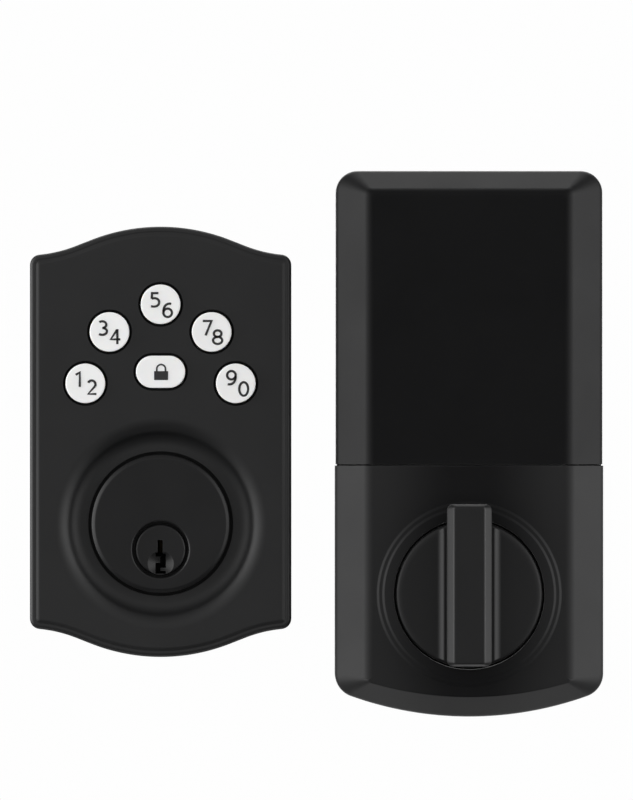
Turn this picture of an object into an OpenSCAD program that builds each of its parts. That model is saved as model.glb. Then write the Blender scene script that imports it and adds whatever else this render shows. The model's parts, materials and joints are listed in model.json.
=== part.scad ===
// Keypad smart lock: the outside keypad half and the inside thumbturn half of a motor-driven
// deadbolt lock, stood side by side with both fronts facing -Y.
// Millimetres, +Z up. The door face that each half seats on is the plane Y = 0.
// The origin is where the key plug's axis crosses that plane.
// Each half is drawn with facing(): local x is right, y is up and z points out of the door.

/* [Keypad half] */
// Width of the keypad housing
keypad_w = 74.7; // [74:0.1:75.5]
// Height of the keypad housing, from the lowest to the highest point of its scalloped ends
keypad_h = 123; // [122:0.5:124]
// Depth of the keypad housing, from the door to its face
keypad_d = 20; // [20:0.5:21]
// Height of the housing's middle above the plug axis
keypad_mid = 30.8; // [30.5:0.1:31]
// Radius of the crown at each end
crown_r = 54; // [53:1:55]
// Radius of the hollow shoulder beside each crown
dip_r = 39; // [38:1:40]
// Rounding where the front face turns into the sides
edge_round = 1.5; // [1.2:0.1:1.8]
// Radius of a round two-digit key
key_r = 5.65; // [5.5:0.05:5.8]
// Width and height of the lock key
lock_key = [14.05, 9.2];

/* [Cylinder] */
// Radius of the round cylinder collar in the keypad face
collar_r = 19.75; // [19.4:0.05:19.9]
// Height of the collar's middle above the plug axis
collar_up = 7.4; // [7.2:0.1:7.6]
// Radius of the bowl sunk in the housing round the collar
dish_r = 30.4; // [30.2:0.1:30.6]
// Radius of the turning plug
plug_r = 7.35; // [7.3:0.01:7.36]
// Reach of the tailpiece behind the door face
tail_reach = 76; // [60:1:90]
// Distance between the two through-bolt axes
bolt_gap = 40; // [39.5:0.5:40.5]

/* [Inside half] */
// Position of the thumbturn axis from the plug axis: right, up
inside_at = [88.1, -12.6];
// Width of the battery cover
cover_w = 76.2; // [76:0.1:76.4]
// Width of the lower housing
housing_w = 76.7; // [76.5:0.1:77]
// Height of the top edge above the thumbturn axis
inside_top = 120.8; // [120.5:0.1:121.2]
// Height of the lowest point of the bottom edge
inside_low = -35.1; // [-35.4:0.1:-35]
// Height of the seam between the battery cover and the lower housing
seam_y = 36.8; // [36.6:0.1:37]
// Depth of the inside half, from the door to its face
inside_d = 36; // [36:0.5:37]
// Depth at which the wide side bevels start
bevel_z = 27; // [25:0.5:29]
// Width of the side bevels, and height of the top and bottom ones
bevel = [9.4, 5.8];

/* [Thumbturn] */
// Radius of the thumbturn disc
turn_r = 20.9; // [20.7:0.1:21]
// Width of the thumbturn bar
bar_w = 12.7; // [12.3:0.1:13]
// Lowest and highest ends of the bar
bar_ends = [-20.5, 25.6];
// Height of the bar's top above the door
bar_z = 50; // [48:0.5:52]

/* [Gear train] */
// Module of the output pair, and of the two faster pairs
gear_modules = [0.8, 0.5];
// Teeth: output gear, its pinion, second gear, second pinion, third gear, motor pinion
gear_teeth = [48, 12, 40, 12, 36, 10];
// Pressure angle
pressure = 25; // [24:1:26]
// Thinning of each tooth, in degrees of pitch phase, for backlash
backlash = 0.12; // [0.1:0.01:0.15]

/* [Batteries] */
// Radius of a battery cell
cell_r = 7.1; // [7:0.05:7.15]
// Distance between neighbouring cells
cell_pitch = 14.6; // [14.6:0.05:14.7]
// Height of the cells' axes above the door
cell_z = 24.5; // [24.4:0.1:24.8]

/* [Hidden] */
$fn = 64;

black = "#1b1c1e";
satin_black = "#26272a";
white = "#f0efec";
steel = "#9a9da1";
brass = "#c0a14f";
board_green = "#1d4d33";

// Keypad half: depths above the door
keypad_at = [0, 0];
wall = 2.5;
gasket_t = 1.5;
plate_t = 1.5;
rim_gap = 0.4;
plate_inset = 3;
lip_z = keypad_d - 3.55;
lip_t = 1.9;
roof_z = keypad_d - wall;
collar_z = keypad_d + 0.4;
plug_z = collar_z - 0.5;
hole_gap = 0.75;
collar_gap = 0.85;
board_z = 6.5;
board_t = 1.6;
corner_r = 3;
crown_a = 21.4;
shoulder = 4.83;

// Key positions from the plug axis
round_keys = [[-21.5, 47.5], [-14.6, 62.2], [0, 70.1], [14.6, 62.2], [21.5, 47.5]];
lock_key_at = [0, 50.8];
board_bosses = [[-24.5, 58.5], [24.5, 58.5], [-16, 77], [16, 77]];
plate_bosses = [[-32, 76], [32, 76], [-31.5, -13], [31.5, -13]];
cylinder_bosses = [[-13, 17], [13, 17]];
post_at = [[-bolt_gap / 2, 0], [bolt_gap / 2, 0]];

// Pin stacks, from front to back, and where each key pin ends in the keyway
pin_z = [for (i = [0:4]) 7.4 - 4 * i];
pin_low = [0.2, -0.8, 0.6, -1.2, -0.3];
barrel_back = -10.9;

// Inside half
shell_t = 2.2;
seam_gap = 0.2;
face_y = [inside_low + bevel.y, inside_top - bevel.y];
bolt_head_r = 5;
recess_r = turn_r + 0.6;
recess_z = inside_d - 4.5;
bead_r = 25.2;
tray_posts = [[-29, 38.2], [29, 38.2]];
low_posts = [[-31.5, -12], [31.5, -12]];
plate_fixings = [[-23, -20], [23, -20], [-20, 37.5], [20, 37.5]];
inside_board = [-30, 30, 43, 113];
inside_board_z = 6;
inside_board_holes = [[-27, 46], [27, 46], [-27, 110], [27, 110]];
tray_y = [44, 102.5];
cell_x = [for (i = [-1.5:1:1.5]) i * cell_pitch];
cell_span = [tray_y.x + 1.5, tray_y.y - 1.5];
button_at = [20, 108];
button_travel = 0.6;

// Gear centres: each pair's distance is half the sum of its pitch diameters
mod_a = gear_modules[0];
mod_b = gear_modules[1];
reach_ab = mod_a * (gear_teeth[0] + gear_teeth[1]) / 2;
reach_bc = mod_b * (gear_teeth[2] + gear_teeth[3]) / 2;
reach_cd = mod_b * (gear_teeth[4] + gear_teeth[5]) / 2;
dir_ab = 65;
dir_bc = 170;
dir_cd = 150;
gear_b_at = reach_ab * [cos(dir_ab), sin(dir_ab)];
gear_c_at = gear_b_at + reach_bc * [cos(dir_bc), sin(dir_bc)];
pinion_at = gear_c_at + reach_cd * [cos(dir_cd), sin(dir_cd)];
turn_b = mesh_turn(dir_ab, 0, gear_teeth[0], gear_teeth[1]);
turn_c = mesh_turn(dir_bc, turn_b, gear_teeth[2], gear_teeth[3]);
turn_d = mesh_turn(dir_cd, turn_c, gear_teeth[4], gear_teeth[5]);
stage_1 = [4.4, 8.9];
stage_2 = [9.3, 11.8];
stage_3 = [12.2, 14.4];
case_z = [4, 16.6];

// ---------------------------------------------------------------- shared shapes

// Puts children on the door face at a point, with their z axis out of the door
module facing(at)
{
    translate([at.x, 0, at.y])
        rotate([90, 0, 0])
            children();
}

// A straight rod along z
module rod(at, r, z0, z1)
{
    translate([at.x, at.y, z0])
        cylinder(r = r, h = z1 - z0);
}

// A block between two corners
module block(x, y, z)
{
    translate([x[0], y[0], z[0]])
        cube([x[1] - x[0], y[1] - y[0], z[1] - z[0]]);
}

// An outline drawn through a depth
module prism(outline, z0, z1)
{
    translate([0, 0, z0])
        linear_extrude(z1 - z0)
            polygon(outline);
}

// A flat plate with round corners
module plate(x, y, r, z0, z1)
{
    translate([0, 0, z0])
        linear_extrude(z1 - z0)
            union() {
                translate([x[0] + r, y[0]])
                    square([x[1] - x[0] - 2 * r, y[1] - y[0]]);
                translate([x[0], y[0] + r])
                    square([x[1] - x[0], y[1] - y[0] - 2 * r]);
                for (cx = [x[0] + r, x[1] - r], cy = [y[0] + r, y[1] - r])
                    translate([cx, cy])
                        circle(r = r);
            }
}

// A skin through outlines that have the same number of points: each ring is [outline, z]
module loft(rings)
{
    n = len(rings[0][0]);
    last = (len(rings) - 1) * n;
    points = [for (ring = rings) for (p = ring[0]) [p.x, p.y, ring[1]]];
    sides = [
        for (k = [0:len(rings) - 2], i = [0:n - 1], half = [0, 1])
            let (a = k * n + i, b = k * n + (i + 1) % n)
                half == 0 ? [a, a + n, b + n] : [a, b + n, b]
    ];
    polyhedron(points, concat([[for (i = [0:n - 1]) i]], sides, [[for (i = [n - 1:-1:0]) last + i]]));
}

// A wire coil that climbs along z
module coil(r, wire_r, height, turns)
{
    steps = 9;
    sides = 5;
    count = turns * steps;
    points = [
        for (i = [0:count], j = [0:sides - 1])
            let (t = 360 * i / steps, a = 360 * j / sides, reach = r + wire_r * cos(a))
                [reach * cos(t), reach * sin(t), wire_r * sin(a) + height * i / count]
    ];
    skin = [
        for (i = [0:count - 1], j = [0:sides - 1], half = [0, 1])
            let (a = i * sides + j, b = i * sides + (j + 1) % sides)
                half == 0 ? [a, a + sides, b + sides] : [a, b + sides, b]
    ];
    first = [for (j = [0:sides - 1]) j];
    end = [for (j = [sides - 1:-1:0]) count * sides + j];
    polyhedron(points, concat([first], skin, [end]));
}

// Points of an arc; skip leaves out that many points at each end
function arc(c, r, a0, a1, n, skip = 0) =
    [for (i = [skip:n - skip]) let (a = a0 + (a1 - a0) * i / n) c + r * [cos(a), sin(a)]];

function reversed(list) = [for (i = [len(list) - 1:-1:0]) list[i]];

// Top right quarter of the keypad outline about its middle, drawn inset by a distance
function keypad_quarter(inset) =
    let (
        crown_c = [0, keypad_h / 2 - crown_r],
        out = [sin(crown_a), cos(crown_a)],
        along = [cos(crown_a), -sin(crown_a)],
        dip_c = crown_c + (crown_r + dip_r) * out + shoulder * along,
        hw = keypad_w / 2 - inset,
        r = max(corner_r - inset, 0.3),
        fx = hw - r,
        fy = dip_c.y - sqrt(pow(dip_r + inset + r, 2) - pow(dip_c.x - fx, 2)),
        a = atan2(dip_c.y - fy, dip_c.x - fx)
    )
    concat(
        arc([fx, fy], r, 0, a, 4),
        arc(dip_c, dip_r + inset, 180 + a, 270 - crown_a, 5, 1),
        [dip_c - (dip_r + inset) * out],
        arc(crown_c, crown_r - inset, 90 - crown_a, 90, 8)
    );

// Whole keypad outline, anticlockwise, about the plug axis
function keypad_outline(inset) =
    let (
        q = keypad_quarter(inset),
        n = len(q),
        top = concat(q, [for (i = [n - 2:-1:0]) [-q[i].x, q[i].y]]),
        low = reversed(top)
    )
    concat([for (p = top) p + [0, keypad_mid]], [for (p = low) [p.x, keypad_mid - p.y]]);

// Outline of the inside half about the thumbturn axis: flat top, arched bottom
function inside_outline(hw, top, low, r_top, r_low, big = 100) =
    let (
        cy = low + big,
        fx = hw - r_low,
        fy = cy - sqrt(pow(big - r_low, 2) - fx * fx),
        a = acos(fx / (big - r_low))
    )
    concat(
        arc([hw - r_top, top - r_top], r_top, 0, 90, 5),
        arc([r_top - hw, top - r_top], r_top, 90, 180, 5),
        arc([-fx, fy], r_low, 180, 180 + a, 5),
        arc([0, cy], big, 180 + a, 360 - a, 10, 1),
        arc([fx, fy], r_low, -a, 0, 5)
    );

// Outer form of the inside half for a given width, drawn inset by a distance
module inside_form(width, inset, z0)
{
    hw = width / 2 - inset;
    top = inside_top - inset;
    low = inside_low + inset;
    face_hw = width / 2 - bevel.x - inset * 0.4;
    face_r = 1.5;
    draft = 0.05;
    loft([
        [inside_outline(hw, top, low, 6.3 - inset, 7 - inset), z0],
        [inside_outline(hw - draft, top - draft, low + draft, 6.25 - inset, 6.95 - inset), bevel_z - inset * 0.5],
        [inside_outline(face_hw, face_y[1] - inset * 0.4, face_y[0] + inset * 0.4, face_r, face_r),
            inside_d - inset]
    ]);
}

// Turn of a gear that meshes with another: direction to it, the other's turn, both tooth counts
function mesh_turn(dir, turn, teeth, next_teeth) =
    dir + 180 + (dir - turn) * teeth / next_teeth - 180 / next_teeth;

// Half the angle that a tooth fills at a radius on its involute
function involute(a) = tan(a) * 180 / PI - a;

function half_tooth(teeth, base_r, r) =
    90 / teeth - backlash * 360 / teeth / 8 + involute(pressure)
    - (r > base_r ? involute(acos(base_r / r)) : 0);

// Outline of a gear with short involute teeth
function gear_outline(m, teeth, turn) =
    let (
        pitch_r = m * teeth / 2,
        base_r = pitch_r * cos(pressure),
        root_r = pitch_r - 1.1 * m,
        tip_r = pitch_r + 0.8 * m,
        radii = [root_r, max(root_r + 0.01, (root_r + pitch_r) / 2), pitch_r, (pitch_r + tip_r) / 2, tip_r]
    )
    [
        for (k = [0:teeth - 1], side = [-1, 1], j = [0:len(radii) - 1])
            let (
                r = radii[side < 0 ? j : len(radii) - 1 - j],
                a = turn + 360 * k / teeth + side * half_tooth(teeth, base_r, r)
            )
                r * [cos(a), sin(a)]
    ];

// A pan-head screw along z: its head lies on the side of z that head_dir points to
module screw(at, r, z_seat, length, head_dir)
{
    head_r = r * 1.9;
    head_t = r * 1.1;
    rod(at, r, min(z_seat, z_seat - head_dir * length), max(z_seat, z_seat - head_dir * length));
    difference() {
        rod(at, head_r, min(z_seat, z_seat + head_dir * head_t), max(z_seat, z_seat + head_dir * head_t));
        for (turn = [0, 90])
            translate([at.x, at.y, z_seat + head_dir * head_t])
                rotate(turn)
                    cube([r * 2, r * 0.45, head_t], center = true);
    }
}

// ---------------------------------------------------------------- keypad half

module keypad_gasket()
{
    color("#101010")
        facing(keypad_at)
            difference() {
                prism(keypad_outline(plate_inset), 0, gasket_t);
                prism(keypad_outline(plate_inset + 5.5), -1, gasket_t + 1);
                for (at = plate_bosses)
                    rod(at, 2.9, -1, gasket_t + 1);
            }
}

module keypad_back_plate()
{
    color(steel)
        facing(keypad_at)
            difference() {
                prism(keypad_outline(plate_inset), gasket_t, gasket_t + plate_t);
                rod([0, 0], 11, 0, 5);
                block([-5.3, 5.3], [0, 19.6], [0, 5]);
                block([-7, 7], [22, 27.5], [0, 5]);
                for (at = cylinder_bosses)
                    rod(at, 1.6, 0, 5);
                for (at = plate_bosses)
                    rod(at, 1.3, 0, 5);
                for (at = post_at)
                    rod(at, 2.6, 0, 5);
            }
}

module back_plate_screws()
{
    color(steel)
        facing(keypad_at)
            for (at = plate_bosses)
                screw(at, 1.2, gasket_t, 7, -1);
}

// The bowl round the collar, as what is cut out of the face: flat lip, hollow foot, round shoulder
module bowl_cut()
{
    lip_r = 22.3;
    steep = 45;
    foot_r = 5;
    shoulder_r = 6;
    foot = arc([lip_r, lip_z + foot_r], foot_r, 270, 270 + steep, 5);
    shoulder = arc([dish_r, keypad_d - shoulder_r], shoulder_r, 90 + steep, 90, 5);
    translate([0, collar_up, 0])
        rotate_extrude($fn = 96)
            polygon(concat(
                [[collar_r - 1, lip_z]], foot, shoulder,
                [[dish_r, keypad_d + 1], [collar_r - 1, keypad_d + 1]]
            ));
}

module stadium(size, r_extra, z0, z1)
{
    r = size.y / 2;
    half = size.x / 2 - r;
    translate([lock_key_at.x, lock_key_at.y, z0])
        linear_extrude(z1 - z0)
            union() {
                square([half * 2, (r + r_extra) * 2], center = true);
                for (side = [-1, 1])
                    translate([side * half, 0])
                        circle(r = r + r_extra);
            }
}

module keypad_housing()
{
    color(black)
        facing(keypad_at)
            difference() {
                union() {
                    difference() {
                        loft([
                            [keypad_outline(0), rim_gap],
                            [keypad_outline(0), keypad_d - edge_round],
                            [keypad_outline(edge_round * 0.3), keypad_d - edge_round * 0.3],
                            [keypad_outline(edge_round), keypad_d]
                        ]);
                        prism(keypad_outline(wall), -1, roof_z);
                    }
                    rod([0, collar_up], dish_r + 1, lip_z - lip_t, roof_z + 0.5);
                    for (at = board_bosses)
                        rod(at, 2.6, board_z + board_t, roof_z + 0.5);
                    for (at = plate_bosses)
                        rod(at, 2.6, gasket_t + plate_t, roof_z + 0.5);
                }
                bowl_cut();
                rod([0, collar_up], collar_r + collar_gap, -1, keypad_d + 1);
                for (at = round_keys)
                    rod(at, key_r + hole_gap, -1, keypad_d + 1);
                stadium(lock_key, hole_gap, -1, keypad_d + 1);
                for (at = board_bosses)
                    rod(at, 1.05, 0, board_z + board_t + 6);
                for (at = plate_bosses)
                    rod(at, 1.25, 0, gasket_t + plate_t + 7);
            }
}

key_flange = [15.5, 17.2];
flange_w = 1.5;
key_foot_z = 14;
key_top_z = keypad_d + 0.8;

// A round key: cap, flange behind the face, and foot on its dome
module round_key(i)
{
    color(white)
        facing(keypad_at)
            translate([round_keys[i].x, round_keys[i].y, 0])
                rotate_extrude()
                    polygon([
                        [0, key_foot_z], [2.4, key_foot_z], [2.4, key_flange[0]], [key_r + flange_w, key_flange[0]],
                        [key_r + flange_w, key_flange[1]], [key_r, key_flange[1]], [key_r, key_top_z - 0.4],
                        [key_r - 0.12, key_top_z - 0.12], [key_r - 0.4, key_top_z], [0, key_top_z]
                    ]);
}

module key_lock()
{
    color(white)
        facing(keypad_at)
            union() {
                stadium(lock_key, 0, key_flange[1] - 0.1, key_top_z - 0.3);
                stadium(lock_key, -0.3, key_top_z - 0.4, key_top_z);
                stadium(lock_key, flange_w - 0.2, key_flange[0], key_flange[1]);
                rod(lock_key_at, 2.4, key_foot_z, key_flange[0] + 0.1);
            }
}

// Silicone sheet with a hollow dome under each key
module keypad_membrane()
{
    sheet_z = board_z + board_t + 0.1;
    domes = concat(round_keys, [lock_key_at]);
    color("#b9b9b4")
        facing(keypad_at)
            difference() {
                union() {
                    plate([-28.8, 28.8], [41, 81.4], 3, sheet_z, sheet_z + 1);
                    for (at = domes)
                        translate([at.x, at.y, sheet_z])
                            cylinder(r1 = 4.8, r2 = 2.7, h = key_foot_z - 0.1 - sheet_z);
                }
                for (at = domes)
                    translate([at.x, at.y, sheet_z - 0.5])
                        cylinder(r1 = 4.4, r2 = 2, h = 4.8);
                for (at = board_bosses)
                    rod(at, 3, 0, 12);
            }
}

module keypad_board()
{
    color(board_green)
        facing(keypad_at)
            difference() {
                plate([-28, 28], [40.5, 81], 3, board_z, board_z + board_t);
                for (at = board_bosses)
                    rod(at, 1.2, 0, 12);
            }
}

// Controller and small parts on the back of the keypad board
module keypad_board_parts()
{
    color("#202226")
        facing(keypad_at) {
            block([-5, 5], [57, 67], [board_z - 1.3, board_z]);
            block([9, 13], [60, 63], [board_z - 0.9, board_z]);
            block([-14, -10], [60, 63], [board_z - 0.9, board_z]);
            for (x = [-9:6:9])
                block([x - 0.8, x + 0.8], [71, 74], [board_z - 0.8, board_z]);
        }
}

module keypad_cable_socket()
{
    color("#e6e2d4")
        facing(keypad_at)
            difference() {
                block([-6.5, 6.5], [43, 48.5], [board_z - 3.1, board_z]);
                block([-5.3, 5.3], [42.5, 46.5], [board_z - 2.4, board_z - 0.7]);
            }
}

module keypad_board_screws()
{
    color(steel)
        facing(keypad_at)
            for (at = board_bosses)
                screw(at, 1, board_z, 6.5, -1);
}

// ---------------------------------------------------------------- cylinder

chamber_r = 1.45;
pin_r = 1.35;
shear_y = plug_r + 0.05;
bible_top = 18.6;
cap_y = 17.6;
disc_back = 10.2;

// Upright bores for the pin stacks, between two heights
module pin_rods(r, lows, high)
{
    for (i = [0:4])
        translate([0, lows[i], pin_z[i]])
            rotate([-90, 0, 0])
                cylinder(r = r, h = high - lows[i]);
}

module cylinder_body()
{
    color(satin_black)
        facing(keypad_at)
            difference() {
                union() {
                    translate([0, collar_up, 0])
                        rotate_extrude($fn = 96)
                            polygon([
                                [0, disc_back], [collar_r + 2.9, disc_back], [collar_r + 2.9, lip_z - lip_t - 0.3],
                                [collar_r, lip_z - lip_t - 0.3], [collar_r, collar_z - 0.6],
                                [collar_r - 0.7, collar_z], [0, collar_z]
                            ]);
                    rod([0, 0], 10.2, barrel_back, disc_back + 1);
                    block([-4.6, 4.6], [0, bible_top], [barrel_back, disc_back + 1]);
                    for (at = cylinder_bosses)
                        rod(at, 3.2, gasket_t + plate_t, disc_back + 1);
                }
                rod([0, 0], shear_y, barrel_back - 1, collar_z + 1);
                rod([0, 0], 8.1, collar_z - 2.5, collar_z + 1);
                translate([0, 0, collar_z - 0.6])
                    cylinder(r1 = 8.1, r2 = 8.7, h = 0.601);
                pin_rods(chamber_r, [for (i = [0:4]) 0], bible_top + 1);
                block([-2.2, 2.2], [cap_y, bible_top + 1], [barrel_back - 1, disc_back - 0.8]);
                for (at = cylinder_bosses)
                    rod(at, 1.5, 0, disc_back + 6);
            }
}

module chamber_cap()
{
    color(brass)
        facing(keypad_at)
            block([-2.2, 2.2], [cap_y, bible_top], [barrel_back, disc_back - 0.8]);
}

module cylinder_screws()
{
    color(steel)
        facing(keypad_at)
            for (at = cylinder_bosses)
                screw(at, 1.5, gasket_t, 12, -1);
}

// Two posts that take the through-bolts from the inside half
module mounting_posts()
{
    color(steel)
        facing(keypad_at)
            for (at = post_at)
                difference() {
                    union() {
                        rod(at, 3.6, -12, gasket_t);
                        rod(at, 2.6, gasket_t - 0.1, gasket_t + plate_t);
                        rod(at, 4.2, gasket_t + plate_t, 6);
                    }
                    rod(at, 1.65, -13, 3);
                }
}

// Broken-line keyway, as seen from the front
keyway = [
    [-0.87, 2.75], [0.6, 2.75], [0.6, -1.1], [1.5, -1.1], [1.5, -5.2], [0, -5.2], [0, -6.05],
    [1.5, -6.05], [1.5, -6.9], [-1.5, -6.9], [-1.5, -3.75], [-0.14, -3.75], [-0.14, -2],
    [-1.5, -2], [-1.5, -0.9], [-0.87, -0.9]
];
plug_tail_r = 6.2;
plug_back = -14.5;

module plug()
{
    color(satin_black)
        facing(keypad_at)
            difference() {
                rotate_extrude()
                    polygon([
                        [0, plug_back], [plug_tail_r, plug_back], [plug_tail_r, barrel_back - 0.3],
                        [plug_r, barrel_back - 0.3], [plug_r, plug_z - 0.7], [plug_r - 0.7, plug_z],
                        [0, plug_z]
                    ]);
                prism(reversed(keyway), barrel_back, plug_z + 1);
                translate([0, -4.05, plug_z - 0.5])
                    cylinder(r1 = 2.6, r2 = 2.61, h = 0.6);
                pin_rods(chamber_r, [for (i = [0:4]) -1.8], plug_r + 1);
            }
}

// Threaded cap that holds the tailpiece on the back of the plug
module plug_cap()
{
    color(steel)
        facing(keypad_at)
            rotate_extrude()
                polygon([
                    [plug_tail_r + 0.02, barrel_back - 0.5], [9.2, barrel_back - 0.5], [9.2, -16.6],
                    [4, -16.6], [4, -15.6], [plug_tail_r + 0.02, -15.6]
                ]);
}

module tailpiece()
{
    color(steel)
        facing(keypad_at)
            union() {
                rod([0, 0], 5.9, plug_back - 1, plug_back - 0.05);
                block([-1, 1], [-3, 3], [-tail_reach, plug_back - 0.5]);
            }
}

module key_pins()
{
    color(brass)
        facing(keypad_at)
            pin_rods(pin_r, pin_low, plug_r - 0.15);
}

driver_low = 7.5;
driver_high = 12;

module driver_pins()
{
    color(brass)
        facing(keypad_at)
            pin_rods(pin_r, [for (i = [0:4]) driver_low], driver_high);
}

module pin_springs()
{
    color(steel)
        facing(keypad_at)
            for (z = pin_z)
                translate([0, driver_high + 0.25, z])
                    rotate([-90, 0, 0])
                        coil(1, 0.18, cap_y - driver_high - 0.5, 5);
}

// ---------------------------------------------------------------- inside half: plate and drive

module mounting_plate()
{
    color(steel)
        facing(inside_at)
            difference() {
                plate([-28, 28], [-28, 108], 5, 0, 1.6);
                rod([0, 0], 9, -1, 3);
                for (at = post_at)
                    rod(at, 2.3, -1, 3);
                for (at = plate_fixings)
                    rod(at, 1.5, -1, 3);
                block([-8, 8], [-22, -14], [-1, 3]);
                plate([-18, 18], [58, 96], 4, -1, 3);
            }
}

module chassis()
{
    color("#3a3c40")
        facing(inside_at)
            difference() {
                union() {
                    plate([-33.5, 33.5], [-27, 115], 4, 1.7, 4);
                    for (at = tray_posts)
                        rod(at, 2.8, 3, 23);
                    for (at = inside_board_holes)
                        rod(at, 2.5, 3, inside_board_z);
                    for (x = [-32, 32], y = [70, 100])
                        rod([x, y], 1.3, 3, 14.9);
                }
                rod([0, 0], 7.6, 0, 5);
                for (at = post_at)
                    rod(at, bolt_head_r, 0, 5);
                for (at = plate_fixings)
                    rod(at, 1.7, 0, 5);
                for (at = low_posts)
                    rod(at, 1.35, 0, 5);
                for (at = tray_posts)
                    rod(at, 1.05, 14, 24);
                for (at = inside_board_holes)
                    rod(at, 0.9, 2.5, 7);
                for (at = [gear_b_at, gear_c_at])
                    rod(at, 1, 2.5, 5);
                block([-8, 8], [-23, -14], [0, 5]);
            }
}

module plate_screws()
{
    color(steel)
        facing(inside_at)
            for (at = plate_fixings)
                screw(at, 1.45, 4, 3.9, 1);
}

// Outline round the whole gear train
module gear_train_outline(extra)
{
    hull() {
        circle(r = mod_a * gear_teeth[0] / 2 + 1.2 + extra);
        translate(gear_b_at)
            circle(r = mod_b * gear_teeth[2] / 2 + 1 + extra);
        translate(gear_c_at)
            circle(r = mod_b * gear_teeth[4] / 2 + 1 + extra);
        translate(pinion_at)
            circle(r = 3.6 + extra);
    }
}

module gearbox_case()
{
    color("#55585d")
        facing(inside_at)
            difference() {
                translate([0, 0, case_z[0]])
                    linear_extrude(case_z[1] - case_z[0])
                        gear_train_outline(1.4);
                translate([0, 0, case_z[0] - 1])
                    linear_extrude(case_z[1] - case_z[0] - 0.6)
                        gear_train_outline(0);
                rod([0, 0], 5.4, 0, 20);
                rod(pinion_at, 1.8, 0, 20);
                for (at = [gear_b_at, gear_c_at])
                    rod(at, 1, 0, 20);
            }
}

module gear_axles()
{
    color(steel)
        facing(inside_at)
            for (at = [gear_b_at, gear_c_at])
                rod(at, 1, 2.5, case_z[1] - 0.2);
}

module gear_wheel(m, teeth, turn, z)
{
    prism(gear_outline(m, teeth, turn), z[0], z[1]);
}

module output_gear()
{
    color("#d9d4c4")
        facing(inside_at)
            difference() {
                gear_wheel(mod_a, gear_teeth[0], 0, stage_1);
                rod([0, 0], 5, 0, 20);
                for (k = [0:5])
                    rod(12.2 * [cos(60 * k + 30), sin(60 * k + 30)], 3, 0, 20);
            }
}

// Two gears in one piece on a fixed axle
module stepped_gear(at, turn, low, high, low_stage, high_stage)
{
    translate([at.x, at.y, 0])
        difference() {
            union() {
                gear_wheel(low[0], low[1], turn, [low_stage[0], high_stage[0] + 0.05]);
                gear_wheel(high[0], high[1], turn, high_stage);
            }
            rod([0, 0], 1.04, 0, 20);
        }
}

module gear_b()
{
    color("#d9d4c4")
        facing(inside_at)
            stepped_gear(gear_b_at, turn_b, [mod_a, gear_teeth[1]], [mod_b, gear_teeth[2]], stage_1, stage_2);
}

module gear_c()
{
    color("#c9c2ae")
        facing(inside_at)
            stepped_gear(gear_c_at, turn_c, [mod_b, gear_teeth[3]], [mod_b, gear_teeth[4]], stage_2, stage_3);
}

module motor_pinion()
{
    color(brass)
        facing(inside_at)
            translate([pinion_at.x, pinion_at.y, 0])
                union() {
                    gear_wheel(mod_b, gear_teeth[5], turn_d, [stage_3[0] - 0.1, stage_3[1]]);
                    rod([0, 0], 0.75, stage_3[1] - 0.1, case_z[1] + 1.6);
                }
}

motor_z = [case_z[1], case_z[1] + 15];

module gear_motor()
{
    color("#b4b6b8")
        facing(inside_at)
            translate([pinion_at.x, pinion_at.y, 0])
                difference() {
                    union() {
                        intersection() {
                            rod([0, 0], 6, motor_z[0], motor_z[1]);
                            block([-6, 6], [-5, 5], [motor_z[0], motor_z[1]]);
                        }
                        rod([0, 0], 2.2, motor_z[1] - 0.1, motor_z[1] + 0.6);
                    }
                    rod([0, 0], 0.79, motor_z[0] - 1, motor_z[0] + 2);
                }
}

lead_r = 0.55;
lead_top = motor_z[1] + 1.1;
lead_turn_y = 39.6;

// Two insulated leads from the motor's back to the control board
module motor_leads()
{
    color("#a02020")
        facing(inside_at)
            for (side = [-1, 1]) {
                path = [
                    [pinion_at.x + 3.2 * side, pinion_at.y, motor_z[1]],
                    [pinion_at.x + 3.2 * side, pinion_at.y, lead_top],
                    [pinion_at.x + 3.2 * side, lead_turn_y, lead_top],
                    [pinion_at.x + 3.2 * side, lead_turn_y, 10],
                    [pinion_at.x + 3.2 * side, inside_board[2] + 2.5, 10],
                    [pinion_at.x + 3.2 * side, inside_board[2] + 2.5, inside_board_z + board_t]
                ];
                for (i = [0:len(path) - 2])
                    lead_run(path[i], path[i + 1]);
                for (i = [1:len(path) - 2])
                    translate(path[i])
                        sphere(r = lead_r, $fn = 24);
            }
}

// One straight stretch of lead, along y or z
module lead_run(a, b)
{
    step = b - a;
    translate(a)
        rotate(abs(step.y) > 0 ? [step.y > 0 ? -90 : 90, 0, 0] : [step.z > 0 ? 0 : 180, 0, 0])
            cylinder(r = lead_r, h = norm(step), $fn = 24);
}

// ---------------------------------------------------------------- inside half: thumbturn

turn_face_z = inside_d + 1;
neck_z = [25.6, 32.2];
clip_z = [26.9, 27.7];

module spindle()
{
    color(steel)
        facing(inside_at)
            difference() {
                union() {
                    rod([0, 0], 7.55, 1.9, 4.35);
                    rod([0, 0], 5, 4, 31);
                }
                block([-1.1, 1.1], [-3.1, 3.1], [0, 24]);
            }
}

module sensor_cam()
{
    color("#303236")
        facing(inside_at)
            difference() {
                union() {
                    rod([0, 0], 8.5, 17.2, 19.6);
                    intersection() {
                        rod([0, 0], 11, 17.2, 19.6);
                        block([-3.5, 3.5], [-12, 0], [17, 20]);
                    }
                }
                rod([0, 0], 5, 0, 30);
            }
}

module position_switch()
{
    color("#1a1a1a")
        facing(inside_at) {
            block([-6.4, 6.4], [-18.4, -12.6], [16.6, 22.4]);
            block([-1, 1], [-12.7, -11.5], [17.6, 19.4]);
        }
}

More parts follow.
